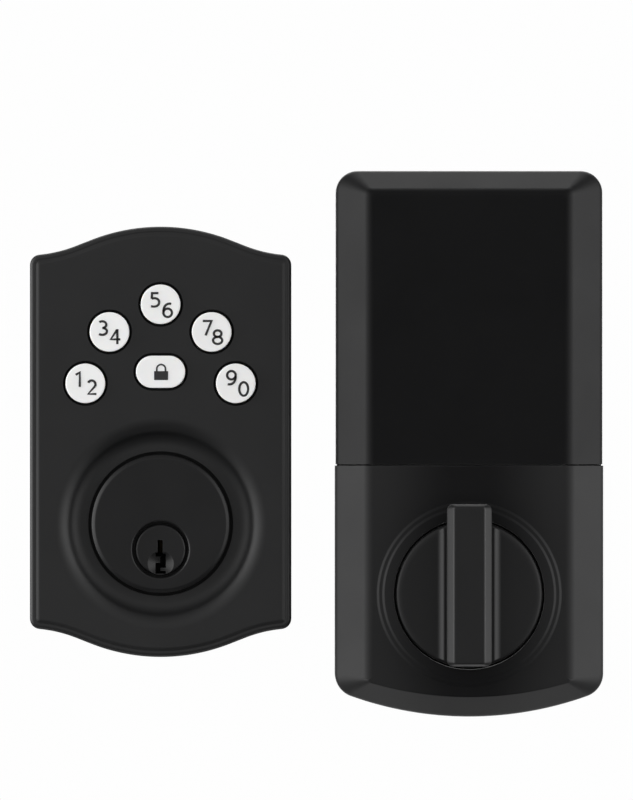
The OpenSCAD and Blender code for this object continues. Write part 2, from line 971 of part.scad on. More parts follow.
// Disc, hand bar and neck of the thumbturn
module thumbturn()
{
    half = bar_w / 2;
    foot_z = turn_face_z + 2.3;
    color(black)
        facing(inside_at)
            difference() {
                union() {
                    rotate_extrude($fn = 96)
                        polygon([
                            [0, neck_z[1]], [turn_r, neck_z[1]], [turn_r, turn_face_z - 0.6],
                            [turn_r - 0.6, turn_face_z], [0, turn_face_z]
                        ]);
                    rod([0, 0], 8, neck_z[0], neck_z[1] + 0.1);
                    intersection() {
                        rod([0, 0], turn_r - 0.7, turn_face_z - 0.1, foot_z + 0.1);
                        block([-half, half], bar_ends, [turn_face_z - 0.1, foot_z + 0.1]);
                    }
                    for (side = [-1, 1])
                        thumbturn_wing(side);
                    hand_bar(half, foot_z);
                }
                rod([0, 0], 5.02, neck_z[0] - 1, 31.2);
                rotate_extrude()
                    translate([7.1, clip_z[0]])
                        square([2, clip_z[1] - clip_z[0]]);
            }
}

// Bar with bevels down its sides and ends
module hand_bar(half, foot_z)
{
    side_bevel = 2.05;
    end_bevel = 1.3;
    bevel_low = bar_z - 2.4;
    intersection() {
        translate([0, bar_ends[0], 0])
            rotate([-90, 0, 0])
                linear_extrude(bar_ends[1] - bar_ends[0])
                    polygon([
                        [-half, -foot_z], [half, -foot_z], [half, -bevel_low], [half - side_bevel, -bar_z],
                        [side_bevel - half, -bar_z], [-half, -bevel_low]
                    ]);
        rotate([90, 0, 90])
            linear_extrude(bar_w + 2, center = true)
                polygon([
                    [bar_ends[0], foot_z - 1], [bar_ends[1], foot_z - 1], [bar_ends[1], bevel_low],
                    [bar_ends[1] - end_bevel, bar_z + 0.01], [bar_ends[0] + end_bevel, bar_z + 0.01],
                    [bar_ends[0], bevel_low]
                ]);
    }
}

// Low ramp on the disc beside the bar
module thumbturn_wing(side)
{
    intersection() {
        rod([0, 0], turn_r - 0.7, turn_face_z - 0.1, turn_face_z + 2);
        rotate([-90, 0, 0])
            linear_extrude(50, center = true)
                polygon([
                    [side * 6.6, -(turn_face_z - 0.1)], [side * 8.8, -(turn_face_z - 0.1)],
                    [side * 8.8, -turn_face_z], [side * 7.2, -(turn_face_z + 0.9)],
                    [side * 6.6, -(turn_face_z + 0.4)]
                ]);
    }
}

module thumbturn_clip()
{
    color(steel)
        facing(inside_at)
            difference() {
                rod([0, 0], 10.2, clip_z[0] + 0.05, clip_z[1] - 0.05);
                rod([0, 0], 7.12, 0, 40);
                block([-3, 3], [-12, 0], [0, 40]);
            }
}

// ---------------------------------------------------------------- inside half: shells

// Two-step raised ring and sunk seat round the thumbturn
module turn_seat()
{
    step_1 = inside_d + 0.5;
    step_2 = inside_d + 1;
    rotate_extrude($fn = 96)
        polygon([
            [8.06, recess_z - shell_t], [recess_r + 2.2, recess_z - shell_t],
            [recess_r + 3.2, inside_d - shell_t], [recess_r + 5.1, inside_d - shell_t], [recess_r + 5.1, inside_d],
            [bead_r + 1, inside_d], [bead_r + 0.5, step_1], [bead_r - 0.4, step_1],
            [bead_r - 0.9, step_2], [recess_r, step_2], [recess_r, recess_z], [8.06, recess_z]
        ]);
}

module lower_housing()
{
    color(black)
        facing(inside_at)
            difference() {
                union() {
                    difference() {
                        inside_form(housing_w, 0, 0.4);
                        inside_form(housing_w, shell_t, -1);
                        block([-50, 50], [seam_y - seam_gap, 130], [-2, 40]);
                        rod([0, 0], recess_r + 3, 20, 40);
                    }
                    turn_seat();
                    for (side = [-1, 1])
                        housing_tongue(side);
                    intersection() {
                        inside_form(housing_w, 1, 0);
                        for (at = low_posts)
                            rod(at, 2.8, 4.1, inside_d - 1);
                    }
                }
                for (at = low_posts)
                    rod(at, 1.15, 0, 12);
                for (at = tray_posts)
                    rod(at, 1.4, 20, 30);
            }
}

// Tab that reaches up behind the battery cover to take a screw
module housing_tongue(side)
{
    z = [23.1, 25];
    wall_x = housing_w / 2 - 1;
    difference() {
        union() {
            block(side > 0 ? [25, 33] : [-33, -25], [30, 41.8], z);
            block(side > 0 ? [25, wall_x] : [-wall_x, -25], [30, seam_y - 1], z);
        }
        translate([side * (wall_x + 6.4), 30, z[1] + 6.5])
            rotate([-90, 0, 0])
                cylinder(r = 9, h = 30, center = true);
    }
}

module housing_screws()
{
    color(steel)
        facing(inside_at) {
            for (at = low_posts)
                screw(at, 1.1, 1.7, 10, -1);
            for (at = tray_posts)
                screw(at, 1, 25, 9, 1);
        }
}

module battery_cover()
{
    color(satin_black)
        facing(inside_at)
            difference() {
                inside_form(cover_w, 0, 0.4);
                inside_form(cover_w, shell_t, -1);
                block([-50, 50], [-50, seam_y + seam_gap], [-2, 40]);
            }
}

// ---------------------------------------------------------------- inside half: batteries

module battery_tray()
{
    inner_x = 1.5 * cell_pitch + cell_r + 0.4;
    color("#2c2e31")
        facing(inside_at)
            difference() {
                block([-inner_x - 1.4, inner_x + 1.4], tray_y, [15, 25.6]);
                for (x = cell_x)
                    translate([x, cell_span[0] - 0.5, cell_z])
                        rotate([-90, 0, 0])
                            cylinder(r = cell_r + 0.2, h = cell_span[1] - cell_span[0] + 1);
                block([-inner_x, inner_x], [cell_span[0] - 0.5, cell_span[1] + 0.5], [cell_z - 3.5, 30]);
            }
}

cell_body = 49.2;
cell_nub = 1.3;

// Cells alternate: even ones have the nub up, odd ones have it down
module batteries()
{
    color("#8c7a3a")
        facing(inside_at)
            for (i = [0:3])
                translate([cell_x[i], (cell_span[0] + cell_span[1]) / 2, cell_z])
                    rotate([i % 2 == 0 ? -90 : 90, 0, 0]) {
                        nub_end = (cell_span[1] - cell_span[0]) / 2;
                        translate([0, 0, nub_end - cell_nub])
                            cylinder(r = 2.7, h = cell_nub);
                        translate([0, 0, nub_end - cell_nub - cell_body])
                            cylinder(r = cell_r, h = cell_body + 0.01);
                    }
}

module contact_springs()
{
    gap = cell_span[1] - cell_span[0] - cell_nub - cell_body;
    color(steel)
        facing(inside_at)
            for (i = [0:3])
                translate([cell_x[i], (cell_span[0] + cell_span[1]) / 2, cell_z])
                    rotate([i % 2 == 0 ? 90 : -90, 0, 0])
                        translate([0, 0, (cell_span[1] - cell_span[0]) / 2 - gap + 0.45])
                            coil(3.4, 0.35, gap - 0.9, 3);
}

module contact_plates()
{
    color(steel)
        facing(inside_at)
            for (x = cell_x, y = [cell_span[0] - 0.5, cell_span[1]])
                block([x - 5, x + 5], [y, y + 0.5], [cell_z - 3.4, cell_z + 4.5]);
}

// ---------------------------------------------------------------- inside half: electronics

board_top = inside_board_z + board_t;

module control_board()
{
    color(board_green)
        facing(inside_at)
            difference() {
                plate([inside_board[0], inside_board[1]], [inside_board[2], inside_board[3]], 2,
                    inside_board_z, board_top);
                for (at = inside_board_holes)
                    rod(at, 1.1, 0, 12);
            }
}

// Radio module, controller, driver and small parts on the control board
module control_board_parts()
{
    color("#202226")
        facing(inside_at) {
            block([-8, 8], [86, 98], [board_top, board_top + 2.4]);
            block([-5, 5], [66, 76], [board_top, board_top + 1.3]);
            block([12, 17], [54, 60], [board_top, board_top + 1.6]);
            rod([22, 74], 3, board_top, board_top + 6);
            rod([22, 83], 3, board_top, board_top + 6);
            for (y = [56:5:76])
                block([-16, -14.2], [y, y + 2.6], [board_top, board_top + 0.8]);
        }
}

module inside_cable_socket()
{
    color("#e6e2d4")
        facing(inside_at)
            difference() {
                block([4, 18], [44, 50], [board_top, board_top + 5]);
                block([5.2, 16.8], [43.5, 48.5], [board_top + 1, board_top + 4]);
            }
}

module buzzer()
{
    color("#17181a")
        facing(inside_at)
            difference() {
                rod([-20, 88], 6, board_top, board_top + 5.5);
                rod([-20, 88], 1, board_top + 4, board_top + 6);
            }
}

module program_switch()
{
    color("#17181a")
        facing(inside_at)
            block([button_at.x - 3, button_at.x + 3], [button_at.y - 3, button_at.y + 3],
                [board_top, board_top + 3.4]);
}

module program_button()
{
    color("#b5261e")
        facing(inside_at)
            rod(button_at, 2.2, board_top + 3.4 + button_travel + 0.1, board_top + 9);
}

module board_screws()
{
    color(steel)
        facing(inside_at)
            for (at = inside_board_holes)
                screw(at, 0.85, board_top, 5, 1);
}

keypad_gasket();
keypad_back_plate();
back_plate_screws();
keypad_housing();
round_key(0);  // key_1_2
round_key(1);  // key_3_4
round_key(2);  // key_5_6
round_key(3);  // key_7_8
round_key(4);  // key_9_0
key_lock();
keypad_membrane();
keypad_board();
keypad_board_parts();
keypad_cable_socket();
keypad_board_screws();
cylinder_body();
cylinder_screws();
mounting_posts();
plug();
plug_cap();
tailpiece();
key_pins();
driver_pins();
pin_springs();
chamber_cap();
mounting_plate();
chassis();
plate_screws();
gearbox_case();
gear_axles();
output_gear();
gear_b();
gear_c();
motor_pinion();
gear_motor();
motor_leads();
spindle();
sensor_cam();
position_switch();
thumbturn();
thumbturn_clip();
lower_housing();
housing_screws();
battery_cover();
battery_tray();
batteries();
contact_springs();
contact_plates();
control_board();
control_board_parts();
inside_cable_socket();
buzzer();
program_switch();
program_button();
board_screws();
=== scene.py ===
"""Looks of the keypad smart lock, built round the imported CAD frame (metres, +Z up, fronts face -Y).

Each half is drawn in its own front view, in millimetres: x right, y up and z out of the door,
about the key plug's axis on the keypad half and about the thumbturn's axis on the inside half.
"""
import json
import math

import bmesh
import bpy
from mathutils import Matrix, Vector
from mathutils.geometry import delaunay_2d_cdt


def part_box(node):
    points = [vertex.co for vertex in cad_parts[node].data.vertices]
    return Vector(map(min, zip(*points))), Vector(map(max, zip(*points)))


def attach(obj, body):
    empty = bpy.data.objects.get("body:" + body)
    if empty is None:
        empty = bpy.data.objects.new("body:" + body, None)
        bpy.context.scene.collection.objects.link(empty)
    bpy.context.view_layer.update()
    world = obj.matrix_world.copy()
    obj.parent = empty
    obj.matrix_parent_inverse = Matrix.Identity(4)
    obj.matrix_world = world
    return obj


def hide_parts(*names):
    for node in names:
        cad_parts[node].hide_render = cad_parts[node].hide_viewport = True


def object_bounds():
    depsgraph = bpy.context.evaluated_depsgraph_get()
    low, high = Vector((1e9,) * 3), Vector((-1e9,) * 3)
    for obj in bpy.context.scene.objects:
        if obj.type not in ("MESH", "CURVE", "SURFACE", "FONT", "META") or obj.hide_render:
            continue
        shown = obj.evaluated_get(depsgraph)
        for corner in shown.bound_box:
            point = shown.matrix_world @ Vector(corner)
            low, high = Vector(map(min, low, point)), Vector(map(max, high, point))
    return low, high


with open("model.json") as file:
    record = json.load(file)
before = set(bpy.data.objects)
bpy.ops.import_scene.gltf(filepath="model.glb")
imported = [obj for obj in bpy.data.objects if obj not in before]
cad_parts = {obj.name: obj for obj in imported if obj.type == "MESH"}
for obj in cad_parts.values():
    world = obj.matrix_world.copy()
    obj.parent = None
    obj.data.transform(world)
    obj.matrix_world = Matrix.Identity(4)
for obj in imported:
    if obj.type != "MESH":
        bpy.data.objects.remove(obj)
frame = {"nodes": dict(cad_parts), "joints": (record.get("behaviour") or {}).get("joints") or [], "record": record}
cad_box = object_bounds()

MM = 0.001
JOINT_AT = {j["name"]: Vector(j.get("pos_m") or (0, 0, 0)) for j in frame["joints"]}
PLUG_AXIS = JOINT_AT["plug_turn"]
TURN_AXIS = JOINT_AT["thumbturn_turn"]


# ---------------------------------------------------------------- sizes, in millimetres

def size_of(node):
    """Width, height and depth of a CAD node, in mm."""
    low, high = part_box(node)
    return (high.x - low.x) / MM, (high.z - low.z) / MM, (high.y - low.y) / MM


def front_of(node):
    """How far a CAD node reaches out of the door, in mm."""
    return -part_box(node)[0].y / MM


def back_of(node):
    return -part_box(node)[1].y / MM


def spot(node, half_axis):
    """Middle of a CAD node in a half's front view, in mm."""
    low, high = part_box(node)
    middle = (low + high) / 2 - half_axis
    return middle.x / MM, middle.z / MM


KEYPAD_W, KEYPAD_H, _ = size_of("keypad_housing")
KEYPAD_D = front_of("keypad_housing")
RIM_Z = back_of("keypad_housing")
KEYPAD_MID = spot("keypad_housing", PLUG_AXIS)[1]
CROWN_R, DIP_R, CORNER_R = 54, 39, 3
CROWN_ANGLE, SHOULDER = 21.4, 4.83
SHELL = 2.5
KEY_GAP = 0.75
LIP_DROP, LIP_T = 3.55, 1.9
BOWL_R, LIP_R = 30.4, 22.3
BOWL_STEEP, FOOT_R, BOWL_SHOULDER_R = 45, 5.0, 6.0

COLLAR_R = 19.75
COLLAR_UP = 7.4
COLLAR_HOLE_R = COLLAR_R + 0.85
COLLAR_Z = front_of("cylinder_body")
BARREL_BACK = back_of("cylinder_body")
PLUG_R = size_of("plug")[0] / 2
PLUG_Z = front_of("plug")
PLUG_BACK = back_of("plug")

COVER_W = size_of("battery_cover")[0]
HOUSING_W = size_of("lower_housing")[0]
INSIDE_TOP = (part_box("battery_cover")[1].z - TURN_AXIS.z) / MM
INSIDE_LOW = (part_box("lower_housing")[0].z - TURN_AXIS.z) / MM
SEAM_GAP = 0.2
SEAM_Y = (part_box("battery_cover")[0].z - TURN_AXIS.z) / MM - SEAM_GAP
INSIDE_D = front_of("battery_cover")
BEVEL_Z = 27
BEVEL_W, BEVEL_H = 9.4, 5.8
INSIDE_SHELL = 2.2
TURN_R = size_of("thumbturn")[0] / 2
TURN_FACE = INSIDE_D + 1.0
BAR_TOP = front_of("thumbturn")
BAR_HALF = 6.35
BAR_LOW = -20.5
BAR_HIGH = (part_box("thumbturn")[1].z - TURN_AXIS.z) / MM
SEAT_R = TURN_R + 0.6
SEAT_Z = INSIDE_D - 4.5
BEAD_R = 25.2

ROUND_KEYS = {"key_1_2": "12", "key_3_4": "34", "key_5_6": "56", "key_7_8": "78", "key_9_0": "90"}
KEY_R = 5.65
KEY_TOP = front_of("key_1_2")
LOCK_KEY = (14.05, 9.2)


# ---------------------------------------------------------------- outlines

def arc(centre, radius, start, end, count, skip=0):
    """Points of an arc in degrees; skip leaves out that many at each end."""
    points = []
    for i in range(skip, count + 1 - skip):
        a = math.radians(start + (end - start) * i / count)
        points.append((centre[0] + radius * math.cos(a), centre[1] + radius * math.sin(a)))
    return points


def circle(radius, count=128, centre=(0, 0)):
    return arc(centre, radius, 0, 360, count)[:-1]


def stadium(width, height, grow=0.0, centre=(0, 0), count=32):
    """A slot shape with round ends."""
    radius = height / 2 + grow
    half = width / 2 - height / 2
    right = arc((centre[0] + half, centre[1]), radius, -90, 90, count)
    left = arc((centre[0] - half, centre[1]), radius, 90, 270, count)
    return right + left


def rounded_box(x0, x1, y0, y1, radius, count=6):
    corners = [(x1 - radius, y0 + radius, -90), (x1 - radius, y1 - radius, 0),
               (x0 + radius, y1 - radius, 90), (x0 + radius, y0 + radius, 180)]
    return [p for cx, cy, a in corners for p in arc((cx, cy), radius, a, a + 90, count)]


def keypad_outline(inset):
    """Scalloped outline of the keypad half, anticlockwise, drawn inset by a distance."""
    a = math.radians(CROWN_ANGLE)
    crown = (0, KEYPAD_H / 2 - CROWN_R)
    out = (math.sin(a), math.cos(a))
    dip = (crown[0] + (CROWN_R + DIP_R) * out[0] + SHOULDER * out[1],
           crown[1] + (CROWN_R + DIP_R) * out[1] - SHOULDER * out[0])
    radius = max(CORNER_R - inset, 0.3)
    fx = KEYPAD_W / 2 - inset - radius
    fy = dip[1] - math.sqrt((DIP_R + inset + radius) ** 2 - (dip[0] - fx) ** 2)
    turn = math.degrees(math.atan2(dip[1] - fy, dip[0] - fx))
    quarter = arc((fx, fy), radius, 0, turn, 8)
    quarter += arc(dip, DIP_R + inset, 180 + turn, 270 - CROWN_ANGLE, 14, 1)
    quarter.append((dip[0] - (DIP_R + inset) * out[0], dip[1] - (DIP_R + inset) * out[1]))
    quarter += arc(crown, CROWN_R - inset, 90 - CROWN_ANGLE, 90, 24)
    top = quarter + [(-x, y) for x, y in reversed(quarter[:-1])]
    low = [(x, -y) for x, y in reversed(top)]
    return [(x, y + KEYPAD_MID) for x, y in top + low]


def inside_path(part, hw, top, low, r_top, r_low, big=100.0):
    """Open outline of one shell of the inside half, from one end of the seam to the other."""
    if part == "cover":
        right = arc((hw - r_top, top - r_top), r_top, 0, 90, 12)
        left = arc((r_top - hw, top - r_top), r_top, 90, 180, 12)
        return [(hw, SEAM_Y)] * 4 + right + left + [(-hw, SEAM_Y)] * 4
    cy = low + big
    fx = hw - r_low
    fy = cy - math.sqrt((big - r_low) ** 2 - fx * fx)
    a = math.degrees(math.acos(fx / (big - r_low)))
    left = arc((-fx, fy), r_low, 180, 180 + a, 12)
    arch = arc((0, cy), big, 180 + a, 360 - a, 32, 1)
    right = arc((fx, fy), r_low, -a, 0, 12)
    return [(-hw, SEAM_Y)] * 4 + left + arch + right + [(hw, SEAM_Y)] * 4


def inside(p, loop):
    """Whether a point lies inside a closed loop of points."""
    odd = False
    for a, b in zip(loop, loop[1:] + loop[:1]):
        if (a.y > p.y) != (b.y > p.y) and p.x < a.x + (b.x - a.x) * (p.y - a.y) / (b.y - a.y):
            odd = not odd
    return odd


# ---------------------------------------------------------------- skins

class Skin:
    """Rings of points in a half's front view, and the faces between them."""

    def __init__(self, axis):
        self.bm = bmesh.new()
        self.axis = axis

    def point(self, x, y, z):
        return self.bm.verts.new((self.axis.x + x * MM, -z * MM, self.axis.z + y * MM))

    def ring(self, outline, z):
        return [self.point(x, y, z) for x, y in outline]

    def band(self, a, b, closed=True):
        count = len(a)
        for i in range(count if closed else count - 1):
            j = (i + 1) % count
            self.bm.faces.new((a[i], a[j], b[j], b[i]))

    def tube(self, rings, closed=True):
        for a, b in zip(rings, rings[1:]):
            self.band(a, b, closed)
        return rings

    def fill(self, outer, holes=(), axes=(0, 2)):
        """The flat area inside a ring and outside the rings in it."""
        loops = [outer, *holes]
        flats = [[Vector((v.co[axes[0]], v.co[axes[1]])) / MM for v in loop] for loop in loops]
        verts = [v for loop in loops for v in loop]
        edges = []
        start = 0
        for loop in loops:
            edges += [(start + i, start + (i + 1) % len(loop)) for i in range(len(loop))]
            start += len(loop)
        flat = [p for loop in flats for p in loop]
        made, _, faces, source, _, _ = delaunay_2d_cdt(flat, edges, [], 1, 1e-7)
        for face in faces:
            middle = sum((made[i] for i in face), Vector((0, 0))) / len(face)
            if not any(inside(middle, hole) for hole in flats[1:]):
                self.bm.faces.new([verts[source[i][0]] for i in face])

    def lathe(self, profile, count=128, centre=(0, 0)):
        """Rings through (radius, z) pairs about an axis along z."""
        return self.tube([self.ring(circle(r, count, centre), z) for r, z in profile])

    def solid_of_rings(self, rings):
        """A closed body: rings from back to front, with both ends filled."""
        self.tube(rings)
        self.fill(rings[0])
        self.fill(rings[-1])

    def object(self, name):
        """A plain object of the skin so far, with its normals facing out."""
        bmesh.ops.recalc_face_normals(self.bm, faces=self.bm.faces)
        mesh = bpy.data.meshes.new(name)
        self.bm.to_mesh(mesh)
        self.bm.free()
        obj = bpy.data.objects.new(name, mesh)
        bpy.context.scene.collection.objects.link(obj)
        return obj

    def carve(self, cutter):
        """Cuts another closed skin out of this one."""
        body, tool = self.object("carved_body"), cutter.object("carving_tool")
        cut = body.modifiers.new("cut", "BOOLEAN")
        cut.operation = "DIFFERENCE"
        cut.solver = "EXACT"
        cut.object = tool
        shaped = body.evaluated_get(bpy.context.evaluated_depsgraph_get())
        self.bm = bmesh.new()
        self.bm.from_mesh(shaped.data)
        for obj in (body, tool):
            mesh = obj.data
            bpy.data.objects.remove(obj)
            bpy.data.meshes.remove(mesh)

    def piece(self, name, body, material, replaces=(), sharp=32, skirt=None):
        """Turns the skin into a smooth-shaded object that rides on a body.

        Faces behind skirt, a height in mm, take the near-black rubber material: painted shade, so the gap round a
        key reads dark.
        """
        bm = self.bm
        bmesh.ops.recalc_face_normals(bm, faces=bm.faces)
        limit = math.radians(sharp)
        for face in bm.faces:
            face.smooth = True
            # Painted shade: faces behind the skirt get the second, near-black material.
            if skirt is not None and -face.calc_center_median().y / MM < skirt:
                face.material_index = 1
        for edge in bm.edges:
            edge.smooth = len(edge.link_faces) == 2 and edge.calc_face_angle(0) < limit
        mesh = bpy.data.meshes.new(name)
        bm.to_mesh(mesh)
        bm.free()
        mesh.materials.append(material)
        if skirt is not None:
            mesh.materials.append(MATERIALS["gasket_rubber"])
        obj = bpy.data.objects.new(name, mesh)
        bpy.context.scene.collection.objects.link(obj)
        even = obj.modifiers.new("even_shading", "WEIGHTED_NORMAL")
        even.keep_sharp = True
        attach(obj, body)
        if replaces:
            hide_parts(*replaces)
        return obj


def round_edge(radius, top, steps=5):
    """(inset, z) pairs of a rounded outer edge that ends on the face at top."""
    pairs = []
    for i in range(steps + 1):
        a = math.pi / 2 * i / steps
        pairs.append((radius * (1 - math.cos(a)), top - radius * (1 - math.sin(a))))
    return pairs


def profile_arc(centre_r, centre_z, radius, start, end, count):
    """(radius, z) pairs along an arc of a lathe profile."""
    return arc((centre_r, centre_z), radius, start, end, count)


# ---------------------------------------------------------------- materials

def node(tree, kind, inputs=None, **settings):
    """Adds a shader node, sets its properties, then its input values or links."""
    made = tree.nodes.new(kind)
    for key, value in settings.items():
        setattr(made, key, value)
    for key, value in (inputs or {}).items():
        socket = made.inputs[key]
        if isinstance(value, bpy.types.NodeSocket):
            tree.links.new(value, socket)
        else:
            socket.default_value = value
    return made


def noise(tree, place, scale, detail=3.0, roughness=0.55, distortion=0.0):
    return node(tree, "ShaderNodeTexNoise", {
        "Vector": place, "Scale": scale, "Detail": detail, "Roughness": roughness,
        "Distortion": distortion}).outputs["Fac"]


def spread(tree, value, low, high, from_low=0.3, from_high=0.7):
    """Maps a 0 to 1 pattern onto a range of values."""
    return node(tree, "ShaderNodeMapRange", {
        "Value": value, "From Min": from_low, "From Max": from_high,
        "To Min": low, "To Max": high}).outputs["Result"]


def ramp(tree, value, start, end, low, high):
    """Smooth step of a value from one level to another."""
    return node(tree, "ShaderNodeMapRange", {
        "Value": value, "From Min": start, "From Max": end, "To Min": low, "To Max": high},
        interpolation_type="SMOOTHSTEP").outputs["Result"]


def combine(tree, operation, first, second):
    return node(tree, "ShaderNodeMath", {0: first, 1: second}, operation=operation).outputs[0]


def blend_colours(tree, factor, first, second):
    mix = node(tree, "ShaderNodeMix", data_type="RGBA")
    for socket, value in ((mix.inputs[0], factor), (mix.inputs[6], first), (mix.inputs[7], second)):
        if isinstance(value, bpy.types.NodeSocket):
            tree.links.new(value, socket)
        else:
            socket.default_value = value
    return mix.outputs[2]


def colour(*rgb):
    return (*rgb, 1.0)


def edge_wear_and_highlight(tree, radius_mm):
    """Near 1 along outer edges and 0 on open surfaces."""
    bevel = node(tree, "ShaderNodeBevel", {"Radius": radius_mm * MM}, samples=4)
    flat = node(tree, "ShaderNodeNewGeometry")
    same = node(tree, "ShaderNodeVectorMath", {0: bevel.outputs[0], 1: flat.outputs["Normal"]},
                operation="DOT_PRODUCT")
    return node(tree, "ShaderNodeMapRange", {
        "Value": same.outputs["Value"], "From Min": 0.995, "From Max": 0.9,
        "To Min": 0.0, "To Max": 1.0}).outputs["Result"]


def start_material(name):
    material = bpy.data.materials.new(name)
    material.use_nodes = True
    tree = material.node_tree
    shader = tree.nodes["Principled BSDF"]
    place = node(tree, "ShaderNodeTexCoord").outputs["Object"]
    return material, tree, shader, place


def finish_material(tree, shader, base, rough, bump_source, bump_mm, strength=1.0):
    tree.links.new(base, shader.inputs["Base Color"])
    tree.links.new(rough, shader.inputs["Roughness"])
    bump = node(tree, "ShaderNodeBump", {
        "Height": bump_source, "Distance": bump_mm * MM, "Strength": strength})
    tree.links.new(bump.outputs["Normal"], shader.inputs["Normal"])


def powder_coat(name, dark, light, rough_low, rough_high, grain_mm, bump_mm, edge, specular, sheen=0.0,
                painted_side_sheen=None):
    """Black coating: fine orange-peel grain, slow gloss drift, outer edges painted lighter as partly rubbed paint
    and partly painted highlight, and, when given, a painted side sheen that lightens the tone away from a middle
    line.
    """
    material, tree, shader, place = start_material(name)
    grain = noise(tree, place, 1 / (grain_mm * MM), 4.0, 0.6)
    peel = noise(tree, place, 1 / (grain_mm * 9 * MM), 2.0, 0.5)
    drift = noise(tree, place, 38.0, 3.0, 0.6, 0.4)
    tone = blend_colours(tree, spread(tree, drift, 0.0, 1.0), dark, light)
    speck = spread(tree, grain, 0.0, 0.35, 0.55, 0.8)
    tone = blend_colours(tree, speck, tone, light)
    # Outer edges take the edge colour: partly rubbed paint, partly a painted highlight where rounded edges would
    # catch the light.
    rub_and_highlight = node(tree, "ShaderNodeMath", {0: edge_wear_and_highlight(tree, 0.35), 1: spread(tree, peel, 0.25, 1.0)},
               operation="MULTIPLY").outputs[0]
    tone = blend_colours(tree, rub_and_highlight, tone, edge)
    # Painted highlight: the tone goes paler between near and far mm from the middle line, standing in for the
    # sheen a lit face shows towards its sides.
    if painted_side_sheen:
        middle, near, far, side_sheen_tone = painted_side_sheen
        across = node(tree, "ShaderNodeSeparateXYZ", {"Vector": place}).outputs["X"]
        off = combine(tree, "ABSOLUTE", combine(tree, "SUBTRACT", across, middle), 0.0)
        tone = blend_colours(tree, ramp(tree, off, near * MM, far * MM, 0.0, 1.0), tone, side_sheen_tone)
    rough = spread(tree, drift, rough_low, rough_high)
    height = node(tree, "ShaderNodeMath", {0: grain, 1: peel}, operation="ADD").outputs[0]
    finish_material(tree, shader, tone, rough, height, bump_mm)
    shader.inputs["Specular IOR Level"].default_value = specular
    shader.inputs["Sheen Weight"].default_value = sheen
    shader.inputs["Sheen Roughness"].default_value = 0.3
    return material


def moulded_plastic(name, base, shade, rough_low, rough_high, bump_mm, grain_mm=0.25, subsurface=0.0):
    """Moulded plastic or rubber: fine spark texture and a slow change of tone."""
    material, tree, shader, place = start_material(name)
    grain = noise(tree, place, 1 / (grain_mm * MM), 3.0, 0.6)
    drift = noise(tree, place, 60.0, 3.0, 0.55, 0.3)
    tone = blend_colours(tree, spread(tree, drift, 0.0, 1.0), base, shade)
    rough = spread(tree, grain, rough_low, rough_high)
    finish_material(tree, shader, tone, rough, grain, bump_mm)
    if subsurface:
        shader.inputs["Subsurface Weight"].default_value = subsurface
        shader.inputs["Subsurface Radius"].default_value = (0.0012, 0.001, 0.0008)
        shader.inputs["Subsurface Scale"].default_value = 0.5
    return material


def worked_metal(name, base, shade, rough_low, rough_high, brushed=(1.0, 1.0, 1.0), bump_mm=0.01,
                 stain=0.3):
    """Bare or plated metal: drawn or turned lines and faint stains."""
    material, tree, shader, place = start_material(name)
    stretched = node(tree, "ShaderNodeMapping", {"Vector": place, "Scale": brushed}).outputs[0]
    lines = noise(tree, stretched, 1500.0, 3.0, 0.65)
    cloud = noise(tree, place, 140.0, 4.0, 0.6, 0.6)
    tone = blend_colours(tree, spread(tree, cloud, 0.0, stain), base, shade)
    tone = blend_colours(tree, spread(tree, lines, 0.0, 0.25), tone, shade)
    mixed = node(tree, "ShaderNodeMath", {0: lines, 1: cloud}, operation="ADD").outputs[0]
    rough = spread(tree, mixed, rough_low, rough_high, 0.6, 1.4)
    finish_material(tree, shader, tone, rough, lines, bump_mm)
    shader.inputs["Metallic"].default_value = 1.0
    return material


def circuit_board(name):
    """Green solder mask over a faint pattern of copper tracks."""
    material, tree, shader, place = start_material(name)
    tracks = node(tree, "ShaderNodeTexBrick", {
        "Vector": node(tree, "ShaderNodeMapping", {
            "Vector": place, "Rotation": (math.radians(90), 0, 0)}).outputs[0],
        "Scale": 330.0, "Mortar Size": 0.035, "Mortar Smooth": 0.3, "Row Height": 0.42,
        "Brick Width": 1.7})
    line = tracks.outputs["Fac"]
    broken = node(tree, "ShaderNodeMath", {
        0: line, 1: spread(tree, noise(tree, place, 210.0, 2.0), 0.0, 1.0, 0.45, 0.55)},
        operation="MULTIPLY").outputs[0]
    cloud = noise(tree, place, 90.0, 3.0)
    mask = blend_colours(tree, spread(tree, cloud, 0.0, 1.0), colour(0.004, 0.045, 0.018),
                         colour(0.006, 0.06, 0.026))
    tone = blend_colours(tree, broken, mask, colour(0.02, 0.14, 0.055))
    rough = spread(tree, cloud, 0.28, 0.4)
    finish_material(tree, shader, tone, rough, broken, 0.02)
    return material


